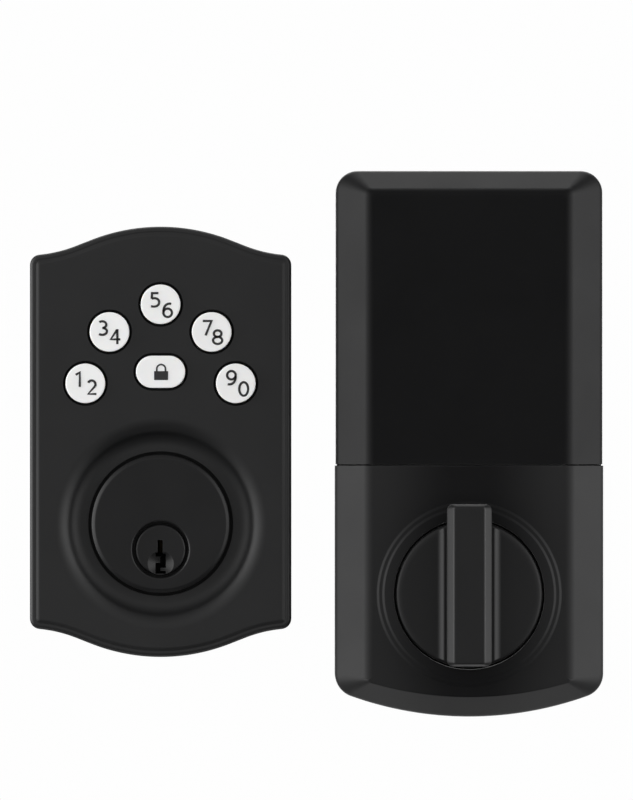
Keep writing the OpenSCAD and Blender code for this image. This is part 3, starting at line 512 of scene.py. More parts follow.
def cell_sleeve(name):
    """Plain cell sleeve: dark lower part, copper-coloured band at the nub end, no print."""
    material, tree, shader, place = start_material(name)
    low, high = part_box("batteries")
    along = node(tree, "ShaderNodeSeparateXYZ", {"Vector": place}).outputs["Z"]
    flip = node(tree, "ShaderNodeSeparateXYZ", {"Vector": place}).outputs["X"]
    pitch = (high.x - low.x + 0.0004) / 4
    index = node(tree, "ShaderNodeMath", {
        0: node(tree, "ShaderNodeMath", {0: flip, 1: low.x}, operation="SUBTRACT").outputs[0],
        1: pitch}, operation="DIVIDE").outputs[0]
    whole = node(tree, "ShaderNodeMath", {0: index}, operation="FLOOR").outputs[0]
    odd = node(tree, "ShaderNodeMath", {0: whole, 1: 2.0}, operation="MODULO").outputs[0]
    span = high.z - low.z
    up = node(tree, "ShaderNodeMapRange", {
        "Value": along, "From Min": low.z, "From Max": low.z + span}).outputs["Result"]
    down = node(tree, "ShaderNodeMath", {0: 1.0, 1: up}, operation="SUBTRACT").outputs[0]
    place_on_cell = node(tree, "ShaderNodeMix", {0: odd, 2: up, 3: down}, data_type="FLOAT").outputs[0]
    band = node(tree, "ShaderNodeMath", {0: place_on_cell, 1: 0.67}, operation="GREATER_THAN").outputs[0]
    scuff = noise(tree, place, 400.0, 4.0, 0.6)
    dark = blend_colours(tree, spread(tree, scuff, 0.0, 1.0), colour(0.012, 0.012, 0.014),
                         colour(0.022, 0.022, 0.024))
    tone = blend_colours(tree, band, dark, colour(0.42, 0.2, 0.075))
    finish_material(tree, shader, tone, spread(tree, scuff, 0.22, 0.36), scuff, 0.01)
    shader.inputs["Metallic"].default_value = 0.35
    return material


# Each powder coat's edge colour is painted onto its outer edges: partly rubbed paint, partly painted highlight.
MATERIALS = {
    "keypad_black": powder_coat(
        "keypad_black", colour(0.006, 0.0061, 0.0064), colour(0.0072, 0.0073, 0.0076), 0.43, 0.49,
        0.22, 0.004, colour(0.016, 0.016, 0.0165), 0.42),
    "inside_black": powder_coat(
        "inside_black", colour(0.0024, 0.0024, 0.0027), colour(0.0032, 0.0032, 0.0035), 0.41, 0.46,
        0.2, 0.003, colour(0.01, 0.01, 0.0105), 0.12, 0.45),
    # Same coat as inside_black plus a painted highlight: paler from 4 to 27 mm either side of the thumbturn's
    # axis.
    "housing_black": powder_coat(
        "housing_black", colour(0.0024, 0.0024, 0.0027), colour(0.0032, 0.0032, 0.0035), 0.41, 0.46,
        0.2, 0.003, colour(0.01, 0.01, 0.0105), 0.12, 0.45,
        (TURN_AXIS.x, 4, 27, colour(0.016, 0.016, 0.0163))),
    "knob_black": powder_coat(
        "knob_black", colour(0.0045, 0.0045, 0.0048), colour(0.0055, 0.0055, 0.0058), 0.4, 0.45,
        0.2, 0.003, colour(0.012, 0.012, 0.0125), 0.32, 0.2),
    "cylinder_black": powder_coat(
        "cylinder_black", colour(0.005, 0.005, 0.0053), colour(0.0065, 0.0065, 0.0068), 0.34, 0.4,
        0.16, 0.003, colour(0.03, 0.03, 0.03), 0.32),
    # Painted shade: near-black, almost unreflective colour for the seam tongue, standing in for the shadow in the
    # seam.
    "seam_shade_black": powder_coat(
        "seam_shade_black", colour(0.001, 0.001, 0.001), colour(0.0018, 0.0018, 0.0018), 0.85, 0.95,
        0.2, 0.003, colour(0.003, 0.003, 0.003), 0.02, 0.0),
    "key_white": moulded_plastic(
        "key_white", colour(0.97, 0.97, 0.965), colour(0.94, 0.94, 0.93), 0.38, 0.5, 0.004, 0.2, 0.15),
    "key_print": moulded_plastic(
        "key_print", colour(0.012, 0.012, 0.013), colour(0.02, 0.02, 0.02), 0.45, 0.6, 0.002),
    "membrane": moulded_plastic(
        "membrane", colour(0.5, 0.5, 0.48), colour(0.42, 0.42, 0.4), 0.5, 0.65, 0.01, 0.4, 0.3),
    "gasket_rubber": moulded_plastic(
        "gasket_rubber", colour(0.012, 0.012, 0.012), colour(0.02, 0.02, 0.02), 0.75, 0.92, 0.06, 0.5),
    "board": circuit_board("board"),
    "chip": moulded_plastic(
        "chip", colour(0.012, 0.012, 0.013), colour(0.02, 0.02, 0.021), 0.32, 0.5, 0.006, 0.15),
    "socket_plastic": moulded_plastic(
        "socket_plastic", colour(0.72, 0.68, 0.55), colour(0.66, 0.61, 0.48), 0.4, 0.55, 0.006),
    "steel": worked_metal(
        "steel", colour(0.38, 0.385, 0.4), colour(0.27, 0.275, 0.29), 0.34, 0.5, (1.0, 1.0, 0.06)),
    "blued_steel": worked_metal(
        "blued_steel", colour(0.07, 0.072, 0.08), colour(0.045, 0.047, 0.055), 0.42, 0.6, (1.0, 1.0, 0.06)),
    "pin_brass": worked_metal(
        "pin_brass", colour(0.11, 0.08, 0.04), colour(0.07, 0.05, 0.025), 0.45, 0.6, (1.0, 1.0, 0.08)),
    "brass": worked_metal(
        "brass", colour(0.76, 0.56, 0.26), colour(0.55, 0.37, 0.15), 0.2, 0.36, (1.0, 1.0, 0.08)),
    "dark_plastic": moulded_plastic(
        "dark_plastic", colour(0.018, 0.019, 0.021), colour(0.028, 0.029, 0.031), 0.45, 0.62, 0.02, 0.35),
    "grey_casting": worked_metal(
        "grey_casting", colour(0.32, 0.33, 0.35), colour(0.22, 0.23, 0.25), 0.45, 0.65, (1, 1, 1), 0.05),
    "gear_plastic": moulded_plastic(
        "gear_plastic", colour(0.68, 0.64, 0.52), colour(0.6, 0.56, 0.44), 0.4, 0.52, 0.006),
    "motor_can": worked_metal(
        "motor_can", colour(0.62, 0.63, 0.65), colour(0.45, 0.46, 0.48), 0.18, 0.3, (1, 0.1, 1)),
    "lead_red": moulded_plastic(
        "lead_red", colour(0.38, 0.012, 0.01), colour(0.28, 0.008, 0.007), 0.35, 0.5, 0.01),
    "cell_wrap": cell_sleeve("cell_wrap"),
    "button_red": moulded_plastic(
        "button_red", colour(0.45, 0.012, 0.009), colour(0.36, 0.009, 0.007), 0.22, 0.34, 0.003),
}


# ---------------------------------------------------------------- keypad half

def bowl_profile(face):
    """Bowl round the collar, from the face in to the lip's edge."""
    lip = face - LIP_DROP
    shoulder = profile_arc(BOWL_R, face - BOWL_SHOULDER_R, BOWL_SHOULDER_R, 90, 90 + BOWL_STEEP, 14)
    foot = profile_arc(LIP_R, lip + FOOT_R, FOOT_R, 270 + BOWL_STEEP, 270, 14)
    return shoulder + foot


def keypad_housing():
    skin = Skin(PLUG_AXIS)
    face = KEYPAD_D
    roof = face - SHELL
    edge = [(0.25, RIM_Z), (0.0, RIM_Z + 0.25)] + round_edge(1.2, face - 0.32, 6)
    edge += [(1.35, face - 0.36), (1.55, face - 0.42), (1.75, face - 0.4)]
    edge += [(2.0, face - 0.28), (2.3, face - 0.14), (2.6, face - 0.04), (2.85, face)]
    outer = skin.tube([skin.ring(keypad_outline(inset), z) for inset, z in edge])
    cavity = [skin.ring(keypad_outline(SHELL), z) for z in (RIM_Z, roof)]
    skin.band(outer[0], cavity[0])
    skin.band(cavity[0], cavity[1])

    holes_front = []
    holes_back = []
    middle = (0, COLLAR_UP)
    lip = face - LIP_DROP
    bowl = bowl_profile(face)
    bowl += [(COLLAR_HOLE_R + 0.1, lip), (COLLAR_HOLE_R, lip - 0.1), (COLLAR_HOLE_R, lip - LIP_T)]
    bowl += [(BOWL_R + 1, lip - LIP_T), (BOWL_R + 1, roof)]
    rings = skin.lathe(bowl, 192, middle)
    holes_front.append(rings[0])
    holes_back.append(rings[-1])

    key_edge = [(0.1, face), (0.03, face - 0.04), (0.0, face - 0.12), (0.0, roof)]
    for name in ROUND_KEYS:
        centre = spot(name, PLUG_AXIS)
        rings = skin.lathe([(KEY_R + KEY_GAP + grow, z) for grow, z in key_edge], 96, centre)
        holes_front.append(rings[0])
        holes_back.append(rings[-1])
    centre = spot("key_lock", PLUG_AXIS)
    rings = skin.tube([skin.ring(stadium(*LOCK_KEY, KEY_GAP + grow, centre), z) for grow, z in key_edge])
    holes_front.append(rings[0])
    holes_back.append(rings[-1])

    skin.fill(outer[-1], holes_front)
    skin.fill(cavity[1], holes_back)
    skin.piece("keypad_shell", "root", MATERIALS["keypad_black"], ["keypad_housing"])


KEY_PROFILE = [(2.4, -6.8), (2.4, -5.3), (7.15, -5.3), (7.15, -3.6), (KEY_R, -3.6), (KEY_R, -0.8),
               (KEY_R, -0.25), (KEY_R - 0.03, -0.13), (KEY_R - 0.1, -0.05), (KEY_R - 0.22, -0.01),
               (KEY_R - 0.4, 0.0), (4.4, -0.03), (3.0, -0.08), (1.5, -0.11)]
# Depth under the key top from which a key is coloured near-black: painted shade in the gap round it.
KEY_SKIRT = -0.8


def round_key(name):
    """Key cap with a soft edge and a faintly hollow top, on its flange and foot."""
    skin = Skin(PLUG_AXIS)
    rings = skin.lathe([(r, KEY_TOP + z) for r, z in KEY_PROFILE], 96, spot(name, PLUG_AXIS))
    skin.fill(rings[0])
    skin.fill(rings[-1])
    skin.piece(name + "_cap", name, MATERIALS["key_white"], [name], skirt=KEY_TOP + KEY_SKIRT)


def lock_key():
    skin = Skin(PLUG_AXIS)
    centre = spot("key_lock", PLUG_AXIS)
    shape = [(1.3, -5.3), (1.3, -3.6), (0.0, -3.6), (0.0, KEY_SKIRT), (0.0, -0.25), (-0.03, -0.13),
             (-0.1, -0.05), (-0.22, -0.01), (-0.4, 0.0), (-1.5, -0.03), (-2.8, -0.08)]
    rings = [skin.ring(stadium(*LOCK_KEY, grow, centre), KEY_TOP + z) for grow, z in shape]
    skin.solid_of_rings(rings)
    foot = [skin.ring(circle(2.4, 48, centre), KEY_TOP + z) for z in (-6.8, -5.2)]
    skin.solid_of_rings(foot)
    skin.piece("key_lock_cap", "key_lock", MATERIALS["key_white"], ["key_lock"],
               skirt=KEY_TOP + KEY_SKIRT)


# Strokes of the digits in mm about the digit's middle: each is a centre line that a pen of
# PEN width follows. "arc": centre, radii, start and end angle; "line": points; "bend": a cubic.
PEN = 0.66
DIGITS = {
    "0": [("arc", (0, 0), (1.2, 1.84), 0, 360)],
    "1": [("line", (-1.0, 1.2), (0.12, 1.84), (0.12, -2.09))],
    "2": [("arc", (-0.08, 0.78), (1.02, 1.06), 155, -28),
          ("line", (0.82, 0.28), (-1.06, -1.84), (1.2, -1.84))],
    "3": [("arc", (-0.28, 0.93), (1.1, 0.91), 135, -88), ("arc", (-0.28, -0.9), (1.28, 0.94), 88, -132)],
    "4": [("line", (0.42, 1.84), (-1.3, -0.78), (1.3, -0.78)), ("line", (0.5, 2.0), (0.5, -2.09))],
    "5": [("line", (0.95, 1.84), (-0.78, 1.84), (-0.86, 0.32)),
          ("bend", (-0.86, 0.32), (-0.2, 0.62), (1.15, 0.5), (1.15, -0.62)),
          ("bend", (1.15, -0.62), (1.15, -1.75), (-0.1, -2.02), (-1.05, -1.7))],
    "6": [("arc", (0.02, -0.7), (1.16, 1.14), 0, 360),
          ("bend", (-1.13, -0.55), (-1.2, 1.0), (-0.3, 2.05), (1.0, 1.74))],
    "7": [("line", (-1.25, 1.84), (1.1, 1.84), (-0.5, -2.09))],
    "8": [("arc", (0, 0.96), (1.02, 0.9), 0, 360), ("arc", (0, -0.88), (1.24, 0.97), 0, 360)],
}
DIGITS["9"] = [("arc", (-0.02, 0.7), (1.16, 1.14), 0, 360),
               ("bend", (1.13, 0.55), (1.2, -1.0), (0.3, -2.05), (-1.0, -1.74))]
DIGITS_AT = {"12": ((-1.7, 1.2), (1.9, -1.1)), "34": ((-1.78, 1.1), (1.72, -1.3)),
             "56": ((-1.62, 1.25), (2.0, -1.7)), "78": ((-1.22, 1.2), (1.7, -1.5)),
             "90": ((-1.25, 1.6), (2.25, -1.6))}
DIGIT_SCALE = 1.05
PRINT_LIFT = 0.03
KEY_DISH = 0.09


def stroke_points(stroke):
    kind, *data = stroke
    if kind == "line":
        return list(data)
    if kind == "arc":
        (cx, cy), (rx, ry), start, end = data
        steps = max(12, int(abs(end - start) / 6))
        angles = [math.radians(start + (end - start) * i / steps) for i in range(steps + 1)]
        return [(cx + rx * math.cos(a), cy + ry * math.sin(a)) for a in angles]
    points = []
    for i in range(19):
        t = i / 18
        weights = ((1 - t) ** 3, 3 * t * (1 - t) ** 2, 3 * t * t * (1 - t), t ** 3)
        points.append(tuple(sum(w * p[k] for w, p in zip(weights, data)) for k in (0, 1)))
    return points


def pen_sides(points, width):
    """Left and right edges of a pen stroke with mitred joints."""
    closed = math.dist(points[0], points[-1]) < 1e-6
    if closed:
        points = points[:-1]
    count = len(points)
    left, right = [], []
    for i, p in enumerate(points):
        before = points[i - 1] if closed or i > 0 else p
        after = points[(i + 1) % count] if closed or i < count - 1 else p
        normals = []
        for a, b in ((before, p), (p, after)):
            length = math.dist(a, b)
            if length > 1e-9:
                normals.append(((a[1] - b[1]) / length, (b[0] - a[0]) / length))
        nx = sum(n[0] for n in normals) / len(normals)
        ny = sum(n[1] for n in normals) / len(normals)
        scale = width / 2 / max(nx * nx + ny * ny, 0.35)
        left.append((p[0] + nx * scale, p[1] + ny * scale))
        right.append((p[0] - nx * scale, p[1] - ny * scale))
    return left, right, closed


def draw_stroke(skin, points, centre, z_low, z_high, width=PEN):
    """A thin raised ribbon along a stroke."""
    left, right, closed = pen_sides(points, width)
    rings = []
    for side, z in ((left, z_low), (left, z_high), (right, z_high), (right, z_low)):
        rings.append([skin.point(centre[0] + x, centre[1] + y, z) for x, y in side])
    for a, b in zip(rings, rings[1:] + rings[:1]):
        skin.band(a, b, closed)
    if not closed:
        for end in (0, -1):
            skin.bm.faces.new([ring[end] for ring in rings])


def key_marks(name, digits):
    skin = Skin(PLUG_AXIS)
    cx, cy = spot(name, PLUG_AXIS)
    for digit, (dx, dy) in zip(digits, DIGITS_AT[digits]):
        for stroke in DIGITS[digit]:
            line = [(x * DIGIT_SCALE, y * DIGIT_SCALE) for x, y in stroke_points(stroke)]
            draw_stroke(skin, line, (cx + dx, cy + dy),
                        KEY_TOP - KEY_DISH - 0.06, KEY_TOP - KEY_DISH + PRINT_LIFT + 0.06)
    skin.piece(name + "_marks", name, MATERIALS["key_print"])


def padlock_mark():
    """Plain padlock sign: a box with a round shackle."""
    skin = Skin(PLUG_AXIS)
    cx, cy = spot("key_lock", PLUG_AXIS)
    z = (KEY_TOP - KEY_DISH - 0.06, KEY_TOP - KEY_DISH + PRINT_LIFT + 0.06)
    body = rounded_box(cx - 1.85, cx + 2.15, cy - 2.35, cy + 0.2, 0.15)
    skin.solid_of_rings([skin.ring(body, height) for height in z])
    shackle = [(-1.24, 0.1), (-1.24, 0.85)] + arc((0, 0.85), 1.24, 180, 0, 20, 1)
    shackle += [(1.24, 0.85), (1.24, 0.1)]
    draw_stroke(skin, shackle, (cx + 0.15, cy), *z, 0.46)
    skin.piece("key_lock_mark", "key_lock", MATERIALS["key_print"])


def cylinder_collar():
    """Round collar with the plug hole, and the barrel, bible and screw bosses behind it."""
    skin = Skin(PLUG_AXIS)
    top = COLLAR_Z
    flange_top = KEYPAD_D - LIP_DROP - LIP_T - 0.3
    disc_back = 10.2
    moat = COLLAR_HOLE_R + 0.5
    rim = [(COLLAR_R + 2.9, disc_back), (COLLAR_R + 2.9, flange_top), (moat, flange_top),
           (moat, disc_back + 1), (COLLAR_R, disc_back + 1),
           (COLLAR_R, top - 0.8), (COLLAR_R - 0.06, top - 0.6), (COLLAR_R - 0.2, top - 0.46),
           (COLLAR_R - 0.85, top - 0.09), (COLLAR_R - 1.05, top - 0.02), (COLLAR_R - 1.3, top)]
    outer = skin.lathe(rim, 192, (0, COLLAR_UP))
    hole = [(8.6, top), (8.46, top - 0.03), (8.3, top - 0.1), (8.15, top - 0.24), (8.04, top - 0.44),
            (7.98, top - 0.7), (7.98, top - 4.5), (PLUG_R + 0.05, top - 4.5), (PLUG_R + 0.05, disc_back)]
    inner = skin.lathe(hole, 128)
    skin.fill(outer[-1], [inner[0]])
    skin.fill(outer[0], [inner[-1]])
    skin.lathe([(10.2, BARREL_BACK + 0.3), (10.2, disc_back + 0.5), (PLUG_R + 0.05, disc_back + 0.5),
                (PLUG_R + 0.05, BARREL_BACK), (9.9, BARREL_BACK), (10.2, BARREL_BACK + 0.3)], 96)
    bible = rounded_box(-4.6, 4.6, 8.0, 18.6, 0.5)
    skin.solid_of_rings([skin.ring(bible, z) for z in (BARREL_BACK, disc_back + 0.5)])
    for x in (-13, 13):
        skin.solid_of_rings([skin.ring(circle(3.2, 48, (x, 17)), z) for z in (3.0, disc_back + 0.5)])
    skin.piece("cylinder_collar", "root", MATERIALS["cylinder_black"], ["cylinder_body"])


KEYWAY = [(-0.87, 2.75), (-0.87, -0.9), (-1.5, -0.9), (-1.5, -2.0), (-0.14, -2.0), (-0.14, -3.75),
          (-1.5, -3.75), (-1.5, -6.9), (1.5, -6.9), (1.5, -6.05), (0.0, -6.05), (0.0, -5.2),
          (1.5, -5.2), (1.5, -1.1), (0.6, -1.1), (0.6, 2.75)]
GUIDE_AT = (0, -4.05)
GUIDE_R = 3.8


def key_plug():
    """Turning plug with its keyway and the shallow dish that guides the key."""
    skin = Skin(PLUG_AXIS)
    top = PLUG_Z
    outer = skin.lathe([(6.2, PLUG_BACK), (6.2, BARREL_BACK - 0.3), (PLUG_R, BARREL_BACK - 0.3),
                        (PLUG_R, top - 0.75), (PLUG_R - 0.1, top - 0.5), (PLUG_R - 0.4, top - 0.15),
                        (PLUG_R - 0.75, top)], 128)
    skin.fill(outer[-1])
    skin.fill(outer[0])
    way = Skin(PLUG_AXIS)
    way.solid_of_rings([way.ring(KEYWAY, z) for z in (BARREL_BACK, top + 1)])
    skin.carve(way)
    guide = Skin(PLUG_AXIS)
    rings = guide.lathe([(0.6, top - 1.55), (GUIDE_R - 0.5, top - 0.3), (GUIDE_R - 0.1, top - 0.03),
                         (GUIDE_R + 0.1, top + 0.5)], 96, GUIDE_AT)
    guide.fill(rings[0])
    guide.fill(rings[-1])
    skin.carve(guide)
    skin.piece("key_plug", "plug", MATERIALS["cylinder_black"], ["plug"])


# ---------------------------------------------------------------- inside half

def bend_corner(corner, before, after, reach, steps):
    """Points of a soft corner between two straight runs, as a quadratic curve."""
    start = corner + (before - corner).normalized() * reach
    end = corner + (after - corner).normalized() * reach
    points = []
    for i in range(steps + 1):
        t = i / steps
        points.append(start * (1 - t) ** 2 + corner * (2 * t * (1 - t)) + end * t * t)
    return points


SEAM_ROUND = 0.05


def shell_grid(part, width, inset):
    """Rings of one shell of the inside half, from its rim at the door to its face."""
    hw = width / 2 - inset
    top, low = INSIDE_TOP - inset, INSIDE_LOW + inset
    face_hw = width / 2 - BEVEL_W - inset * 0.4
    face_top = INSIDE_TOP - BEVEL_H - inset * 0.4
    face_low = INSIDE_LOW + BEVEL_H + inset * 0.4
    rim_z = RIM_Z
    back = inside_path(part, hw, top, low, 6.3 - inset, 7 - inset)
    turn = inside_path(part, hw - 0.04, top - 0.04, low + 0.04, 6.25 - inset, 6.95 - inset)
    face = inside_path(part, face_hw, face_top, face_low, 1.5, 1.5)
    deep = inside_path(part, face_hw - 3, face_top - 3, face_low + 3, 1.0, 1.0)
    face_z = INSIDE_D - inset
    turn_z = BEVEL_Z - inset * 0.5
    columns = []
    for i in range(len(back)):
        p_back = Vector((*back[i], rim_z))
        p_turn = Vector((*turn[i], turn_z))
        p_face = Vector((*face[i], face_z))
        p_deep = Vector((*deep[i], face_z))
        if inset >= 1:
            columns.append([p_back, p_turn, p_face])
            continue
        crisp = part == "housing" and face[i][1] < 0 and abs(face[i][0]) < face_hw - 0.1
        lead_in = p_back + (p_turn - p_back) * 0.012
        side_in = Vector((p_back.x * (1 - 0.2 / hw), p_back.y, p_back.z))
        column = [side_in, lead_in]
        column += bend_corner(p_turn, p_back, p_face, 1.3, 6)
        column += bend_corner(p_face, p_turn, p_deep, 0.35 if crisp else 1.9, 6)
        columns.append(column)
    return columns


def ends_at_seam(columns, part, rounding):
    """Places the four columns at each end of a shell along the seam, with a small round edge."""
    away = 1 if part == "cover" else -1
    line = SEAM_Y + away * SEAM_GAP
    drops = [(0.0, rounding), (0.3 * rounding, 0.35 * rounding), (rounding, 0.0), (2.5 * rounding, 0.0)]
    count = len(columns)
    for k, (rise, sink) in enumerate(drops):
        for index in (k, count - 1 - k):
            moved = []
            column = columns[index]
            for j, p in enumerate(column):
                before = column[max(j - 1, 0)]
                after = column[min(j + 1, len(column) - 1)]
                run = after - before
                side = 1 if p.x > 0 else -1
                normal = Vector((run.z * side, 0, abs(run.x)))
                normal = normal.normalized() if normal.length > 1e-9 else Vector((0, 0, 1))
                spot_at = p - normal * sink
                moved.append(Vector((spot_at.x, line + away * rise, spot_at.z)))
            columns[index] = moved
    return columns


def inside_shell(part, width, name, body, material, replaces, face_hole=None):
    """A closed thin shell: outer skin, inner skin, rim at the door and cut at the seam."""
    skin = Skin(TURN_AXIS)
    outer_cols = ends_at_seam(shell_grid(part, width, 0.0), part, SEAM_ROUND)
    inner_cols = ends_at_seam(shell_grid(part, width, INSIDE_SHELL), part, 0.0)
    inner_cols = spread_ends(inner_cols, part)
    outer = rings_of(skin, outer_cols)
    inner = rings_of(skin, inner_cols)
    skin.tube(outer, False)
    skin.tube(inner, False)
    skin.band(outer[0], inner[0], False)
    last = outer[-1]
    for k in range(3):
        skin.bm.faces.new((last[k], last[k + 1], last[-2 - k], last[-1 - k]))
    front_holes, back_holes = face_hole(skin) if face_hole else ([], [])
    skin.fill(last[3:-3], front_holes)
    low = inner[-1]
    for k in range(3):
        skin.bm.faces.new((low[k], low[k + 1], low[-2 - k], low[-1 - k]))
    skin.fill(low[3:-3], back_holes)
    cut = [ring[0] for ring in outer] + [ring[-1] for ring in reversed(outer)]
    cut += [ring[-1] for ring in inner] + [ring[0] for ring in reversed(inner)]
    skin.fill(cut, axes=(0, 1))
    skin.piece(name, body, MATERIALS[material], replaces)


def seam_tongue():
    """Low tongue on the lower housing that closes the seam under the battery cover, coloured near-black and nearly
    without gloss: painted shade, so the seam reads as a dark gap.
    """
    skin = Skin(TURN_AXIS)
    loops = []
    for inset in (0.6, 1.9):
        columns = shell_grid("housing", HOUSING_W, inset)
        side = [(p.x, p.z) for p in columns[0]] + [(p.x, p.z) for p in reversed(columns[-1])]
        loops.append(side)
    rings = []
    heights = (SEAM_Y - 0.6, SEAM_Y + SEAM_GAP - 0.002)
    for loop in loops:
        rings.append([[skin.point(x, y, z) for x, z in loop] for y in heights])
    (outer_low, outer_high), (inner_low, inner_high) = rings
    skin.band(outer_low, outer_high, False)
    skin.band(inner_low, inner_high, False)
    for outer, inner in ((outer_low, inner_low), (outer_high, inner_high)):
        skin.fill(outer + inner[::-1], axes=(0, 1))
    for k in (0, -1):
        skin.bm.faces.new((outer_low[k], outer_high[k], inner_high[k], inner_low[k]))
    skin.piece("seam_tongue", "root", MATERIALS["seam_shade_black"])


def spread_ends(columns, part):
    """Sets the inner skin's end columns apart by small steps, with no rounding."""
    away = 1 if part == "cover" else -1
    line = SEAM_Y + away * SEAM_GAP
    count = len(columns)
    for k in range(4):
        for index in (k, count - 1 - k):
            columns[index] = [Vector((p.x, line + away * 0.3 * k, p.z)) for p in columns[index]]
    return columns


def rings_of(skin, columns):
    return [[skin.point(*column[k]) for column in columns] for k in range(len(columns[0]))]


def thumbturn_seat(skin):
    """Two-step ring, wall and floor round the thumbturn, and the boss behind them."""
    face = INSIDE_D
    step = face + 0.5
    ledge = face + 1.0
    front = [(BEAD_R + 1.3, face), (BEAD_R + 1.08, face + 0.04), (BEAD_R + 0.58, step - 0.04),
             (BEAD_R + 0.38, step), (BEAD_R - 0.28, step), (BEAD_R - 0.46, step + 0.04),
             (BEAD_R - 0.96, ledge - 0.04), (BEAD_R - 1.16, ledge),
             (SEAT_R + 0.2, ledge), (SEAT_R + 0.05, ledge - 0.05), (SEAT_R, ledge - 0.2),
             (SEAT_R, SEAT_Z), (8.06, SEAT_Z), (8.06, SEAT_Z - INSIDE_SHELL),
             (SEAT_R + 2.2, SEAT_Z - INSIDE_SHELL), (SEAT_R + 3.2, face - INSIDE_SHELL)]
    rings = skin.lathe(front, 192)
    return [rings[0]], [rings[-1]]


def thumbturn():
    """Disc, hand bar with soft shoulders, low wings beside it, and the neck behind."""
    skin = Skin(TURN_AXIS)
    face = TURN_FACE
    disc = [(8.0, 25.6), (8.0, 32.2), (TURN_R, 32.2), (TURN_R, face - 1.0)]
    disc += [(TURN_R - inset, face - sink) for inset, sink in (
        (0.02, 0.75), (0.1, 0.55), (0.25, 0.4), (0.5, 0.26), (0.8, 0.15), (1.15, 0.07), (1.6, 0.02),
        (2.0, 0))]
    rings = skin.lathe(disc, 192)
    skin.fill(rings[0])
    skin.fill(rings[-1])
    foot_z = face + 2.3
    low = BAR_TOP - 2.55
    shape = [(0.3, 0.3, foot_z), (0.0, 0.0, foot_z + 0.3), (0.0, 0.0, low - 0.3), (0.05, 0.02, low - 0.1),
             (0.18, 0.08, low + 0.08), (1.76, 0.5, BAR_TOP - 0.3), (1.96, 0.66, BAR_TOP - 0.12),
             (2.2, 0.9, BAR_TOP - 0.03), (2.45, 1.2, BAR_TOP)]
    rings = []
    for side, end, z in shape:
        box = rounded_box(-BAR_HALF + side, BAR_HALF - side, BAR_LOW + end, BAR_HIGH - end,
                          max(1.7 - side * 0.5, 0.5), 8)
        rings.append(skin.ring(box, z))
    skin.solid_of_rings(rings)
    reach = TURN_R - 0.9
    corner = math.degrees(math.acos(BAR_HALF / reach))
    outline = arc((0, 0), reach, corner, 180 - corner, 12)
    outline += arc((0, 0), reach, 180 + corner, 360 - corner, 12)
    skin.solid_of_rings([skin.ring(outline, z) for z in (face - 0.5, foot_z + 0.5)])
    for side in (-1, 1):
        thumbturn_wing(skin, side, face)
    skin.piece("thumbturn_knob", "thumbturn", MATERIALS["knob_black"], ["thumbturn"])


def thumbturn_wing(skin, side, face):
    """A low ramp that runs beside the bar and ends on the disc's round edge."""
    profile = [(9.0, -0.3), (9.0, 0.0), (8.7, 0.04), (8.35, 0.15), (7.9, 0.38), (7.5, 0.64),
               (7.2, 0.78), (6.98, 0.8), (6.84, 0.78), (6.7, 0.76), (5.6, 0.76), (5.6, -0.3)]
    steps = 28
    rings = []
    for i in range(steps + 1):
        t = -1 + 2 * i / steps
        ring = []
        for x, z in profile:
            reach = math.sqrt((TURN_R - 0.75) ** 2 - x * x)
            ring.append(skin.point(side * x, reach * t, face + z))
        rings.append(ring)
    skin.tube(rings)
    for end in (rings[0], rings[-1]):
        skin.bm.faces.new(end)


# ---------------------------------------------------------------- batteries

def battery_cells():
    """Four sleeved cells with a crimped rim, a step at each end and a nub."""
    low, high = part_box("batteries")
    middle = (low.z + high.z) / 2
    radius = (high.y - low.y) / 2
    pitch = (high.x - low.x - 2 * radius) / 3
    nub, length = 0.0013, 0.0492
    span_half = 0.02775
    skin = Skin(Vector((0, 0, 0)))
    for i in range(4):
        sign = 1 if i % 2 == 0 else -1
        cx = low.x + radius + i * pitch
        cy = (low.y + high.y) / 2
        top = span_half - nub
        profile = [(0.0027, span_half), (0.0027, top + 0.0002), (0.0031, top), (0.0052, top - 0.0001),
                   (0.0056, top + 0.0001), (0.0066, top), (0.00695, top - 0.0002), (radius, top - 0.0006),
                   (radius, top - 0.0018), (radius - 0.00012, top - 0.0021), (radius - 0.00012, top - 0.0025),
                   (radius, top - 0.0028), (radius, top - length + 0.0006), (0.0069, top - length + 0.0001),
                   (0.0064, top - length), (0.006, top - length + 0.0003), (0.0046, top - length + 0.0003)]
        rings = []
        for r, z in profile:
            ring = []
            for k in range(64):
                a = 2 * math.pi * k / 64
                at = (cx + r * math.cos(a), cy + r * math.sin(a), middle + sign * z)
                ring.append(skin.bm.verts.new(at))
            rings.append(ring)
        skin.tube(rings)
        for end in (rings[0], rings[-1]):
            skin.bm.faces.new(end)
    skin.piece("sleeved_cells", "root", MATERIALS["cell_wrap"], ["batteries"])


# ---------------------------------------------------------------- CAD nodes that stay

NODE_LOOKS = {"key_pins": "pin_brass", "tailpiece": "blued_steel"}


def finish_cad_nodes():
    """Gives each CAD node its slot's material, or the one NODE_LOOKS lists for it."""
    for part in frame["record"]["subparts"]:
        obj = frame["nodes"][part["node"]]
        material = MATERIALS[NODE_LOOKS.get(part["node"], part["material_slot"])]
        obj.data.materials.clear()
        obj.data.materials.append(material)


# ---------------------------------------------------------------- camera, lights, stage

VIEW_H = 0.2286
VIEW_RISE = 0.0125
LENS = 1200.0
SENSOR = 36.0
VIEW_PLANE = -0.02


def make_camera():
    data = bpy.data.cameras.new("camera")
    data.lens = LENS
    data.sensor_width = SENSOR
    cam = bpy.data.objects.new("camera", data)
    bpy.context.scene.collection.objects.link(cam)
    low, high = cad_box
    distance = VIEW_H / 2 * LENS / (SENSOR / 2)
    cam.location = ((low.x + high.x) / 2, VIEW_PLANE - distance, (low.z + high.z) / 2 + VIEW_RISE)
    cam.rotation_euler = (math.pi / 2, 0, 0)
    data.clip_start = 0.1
    data.clip_end = 20
    bpy.context.scene.camera = cam


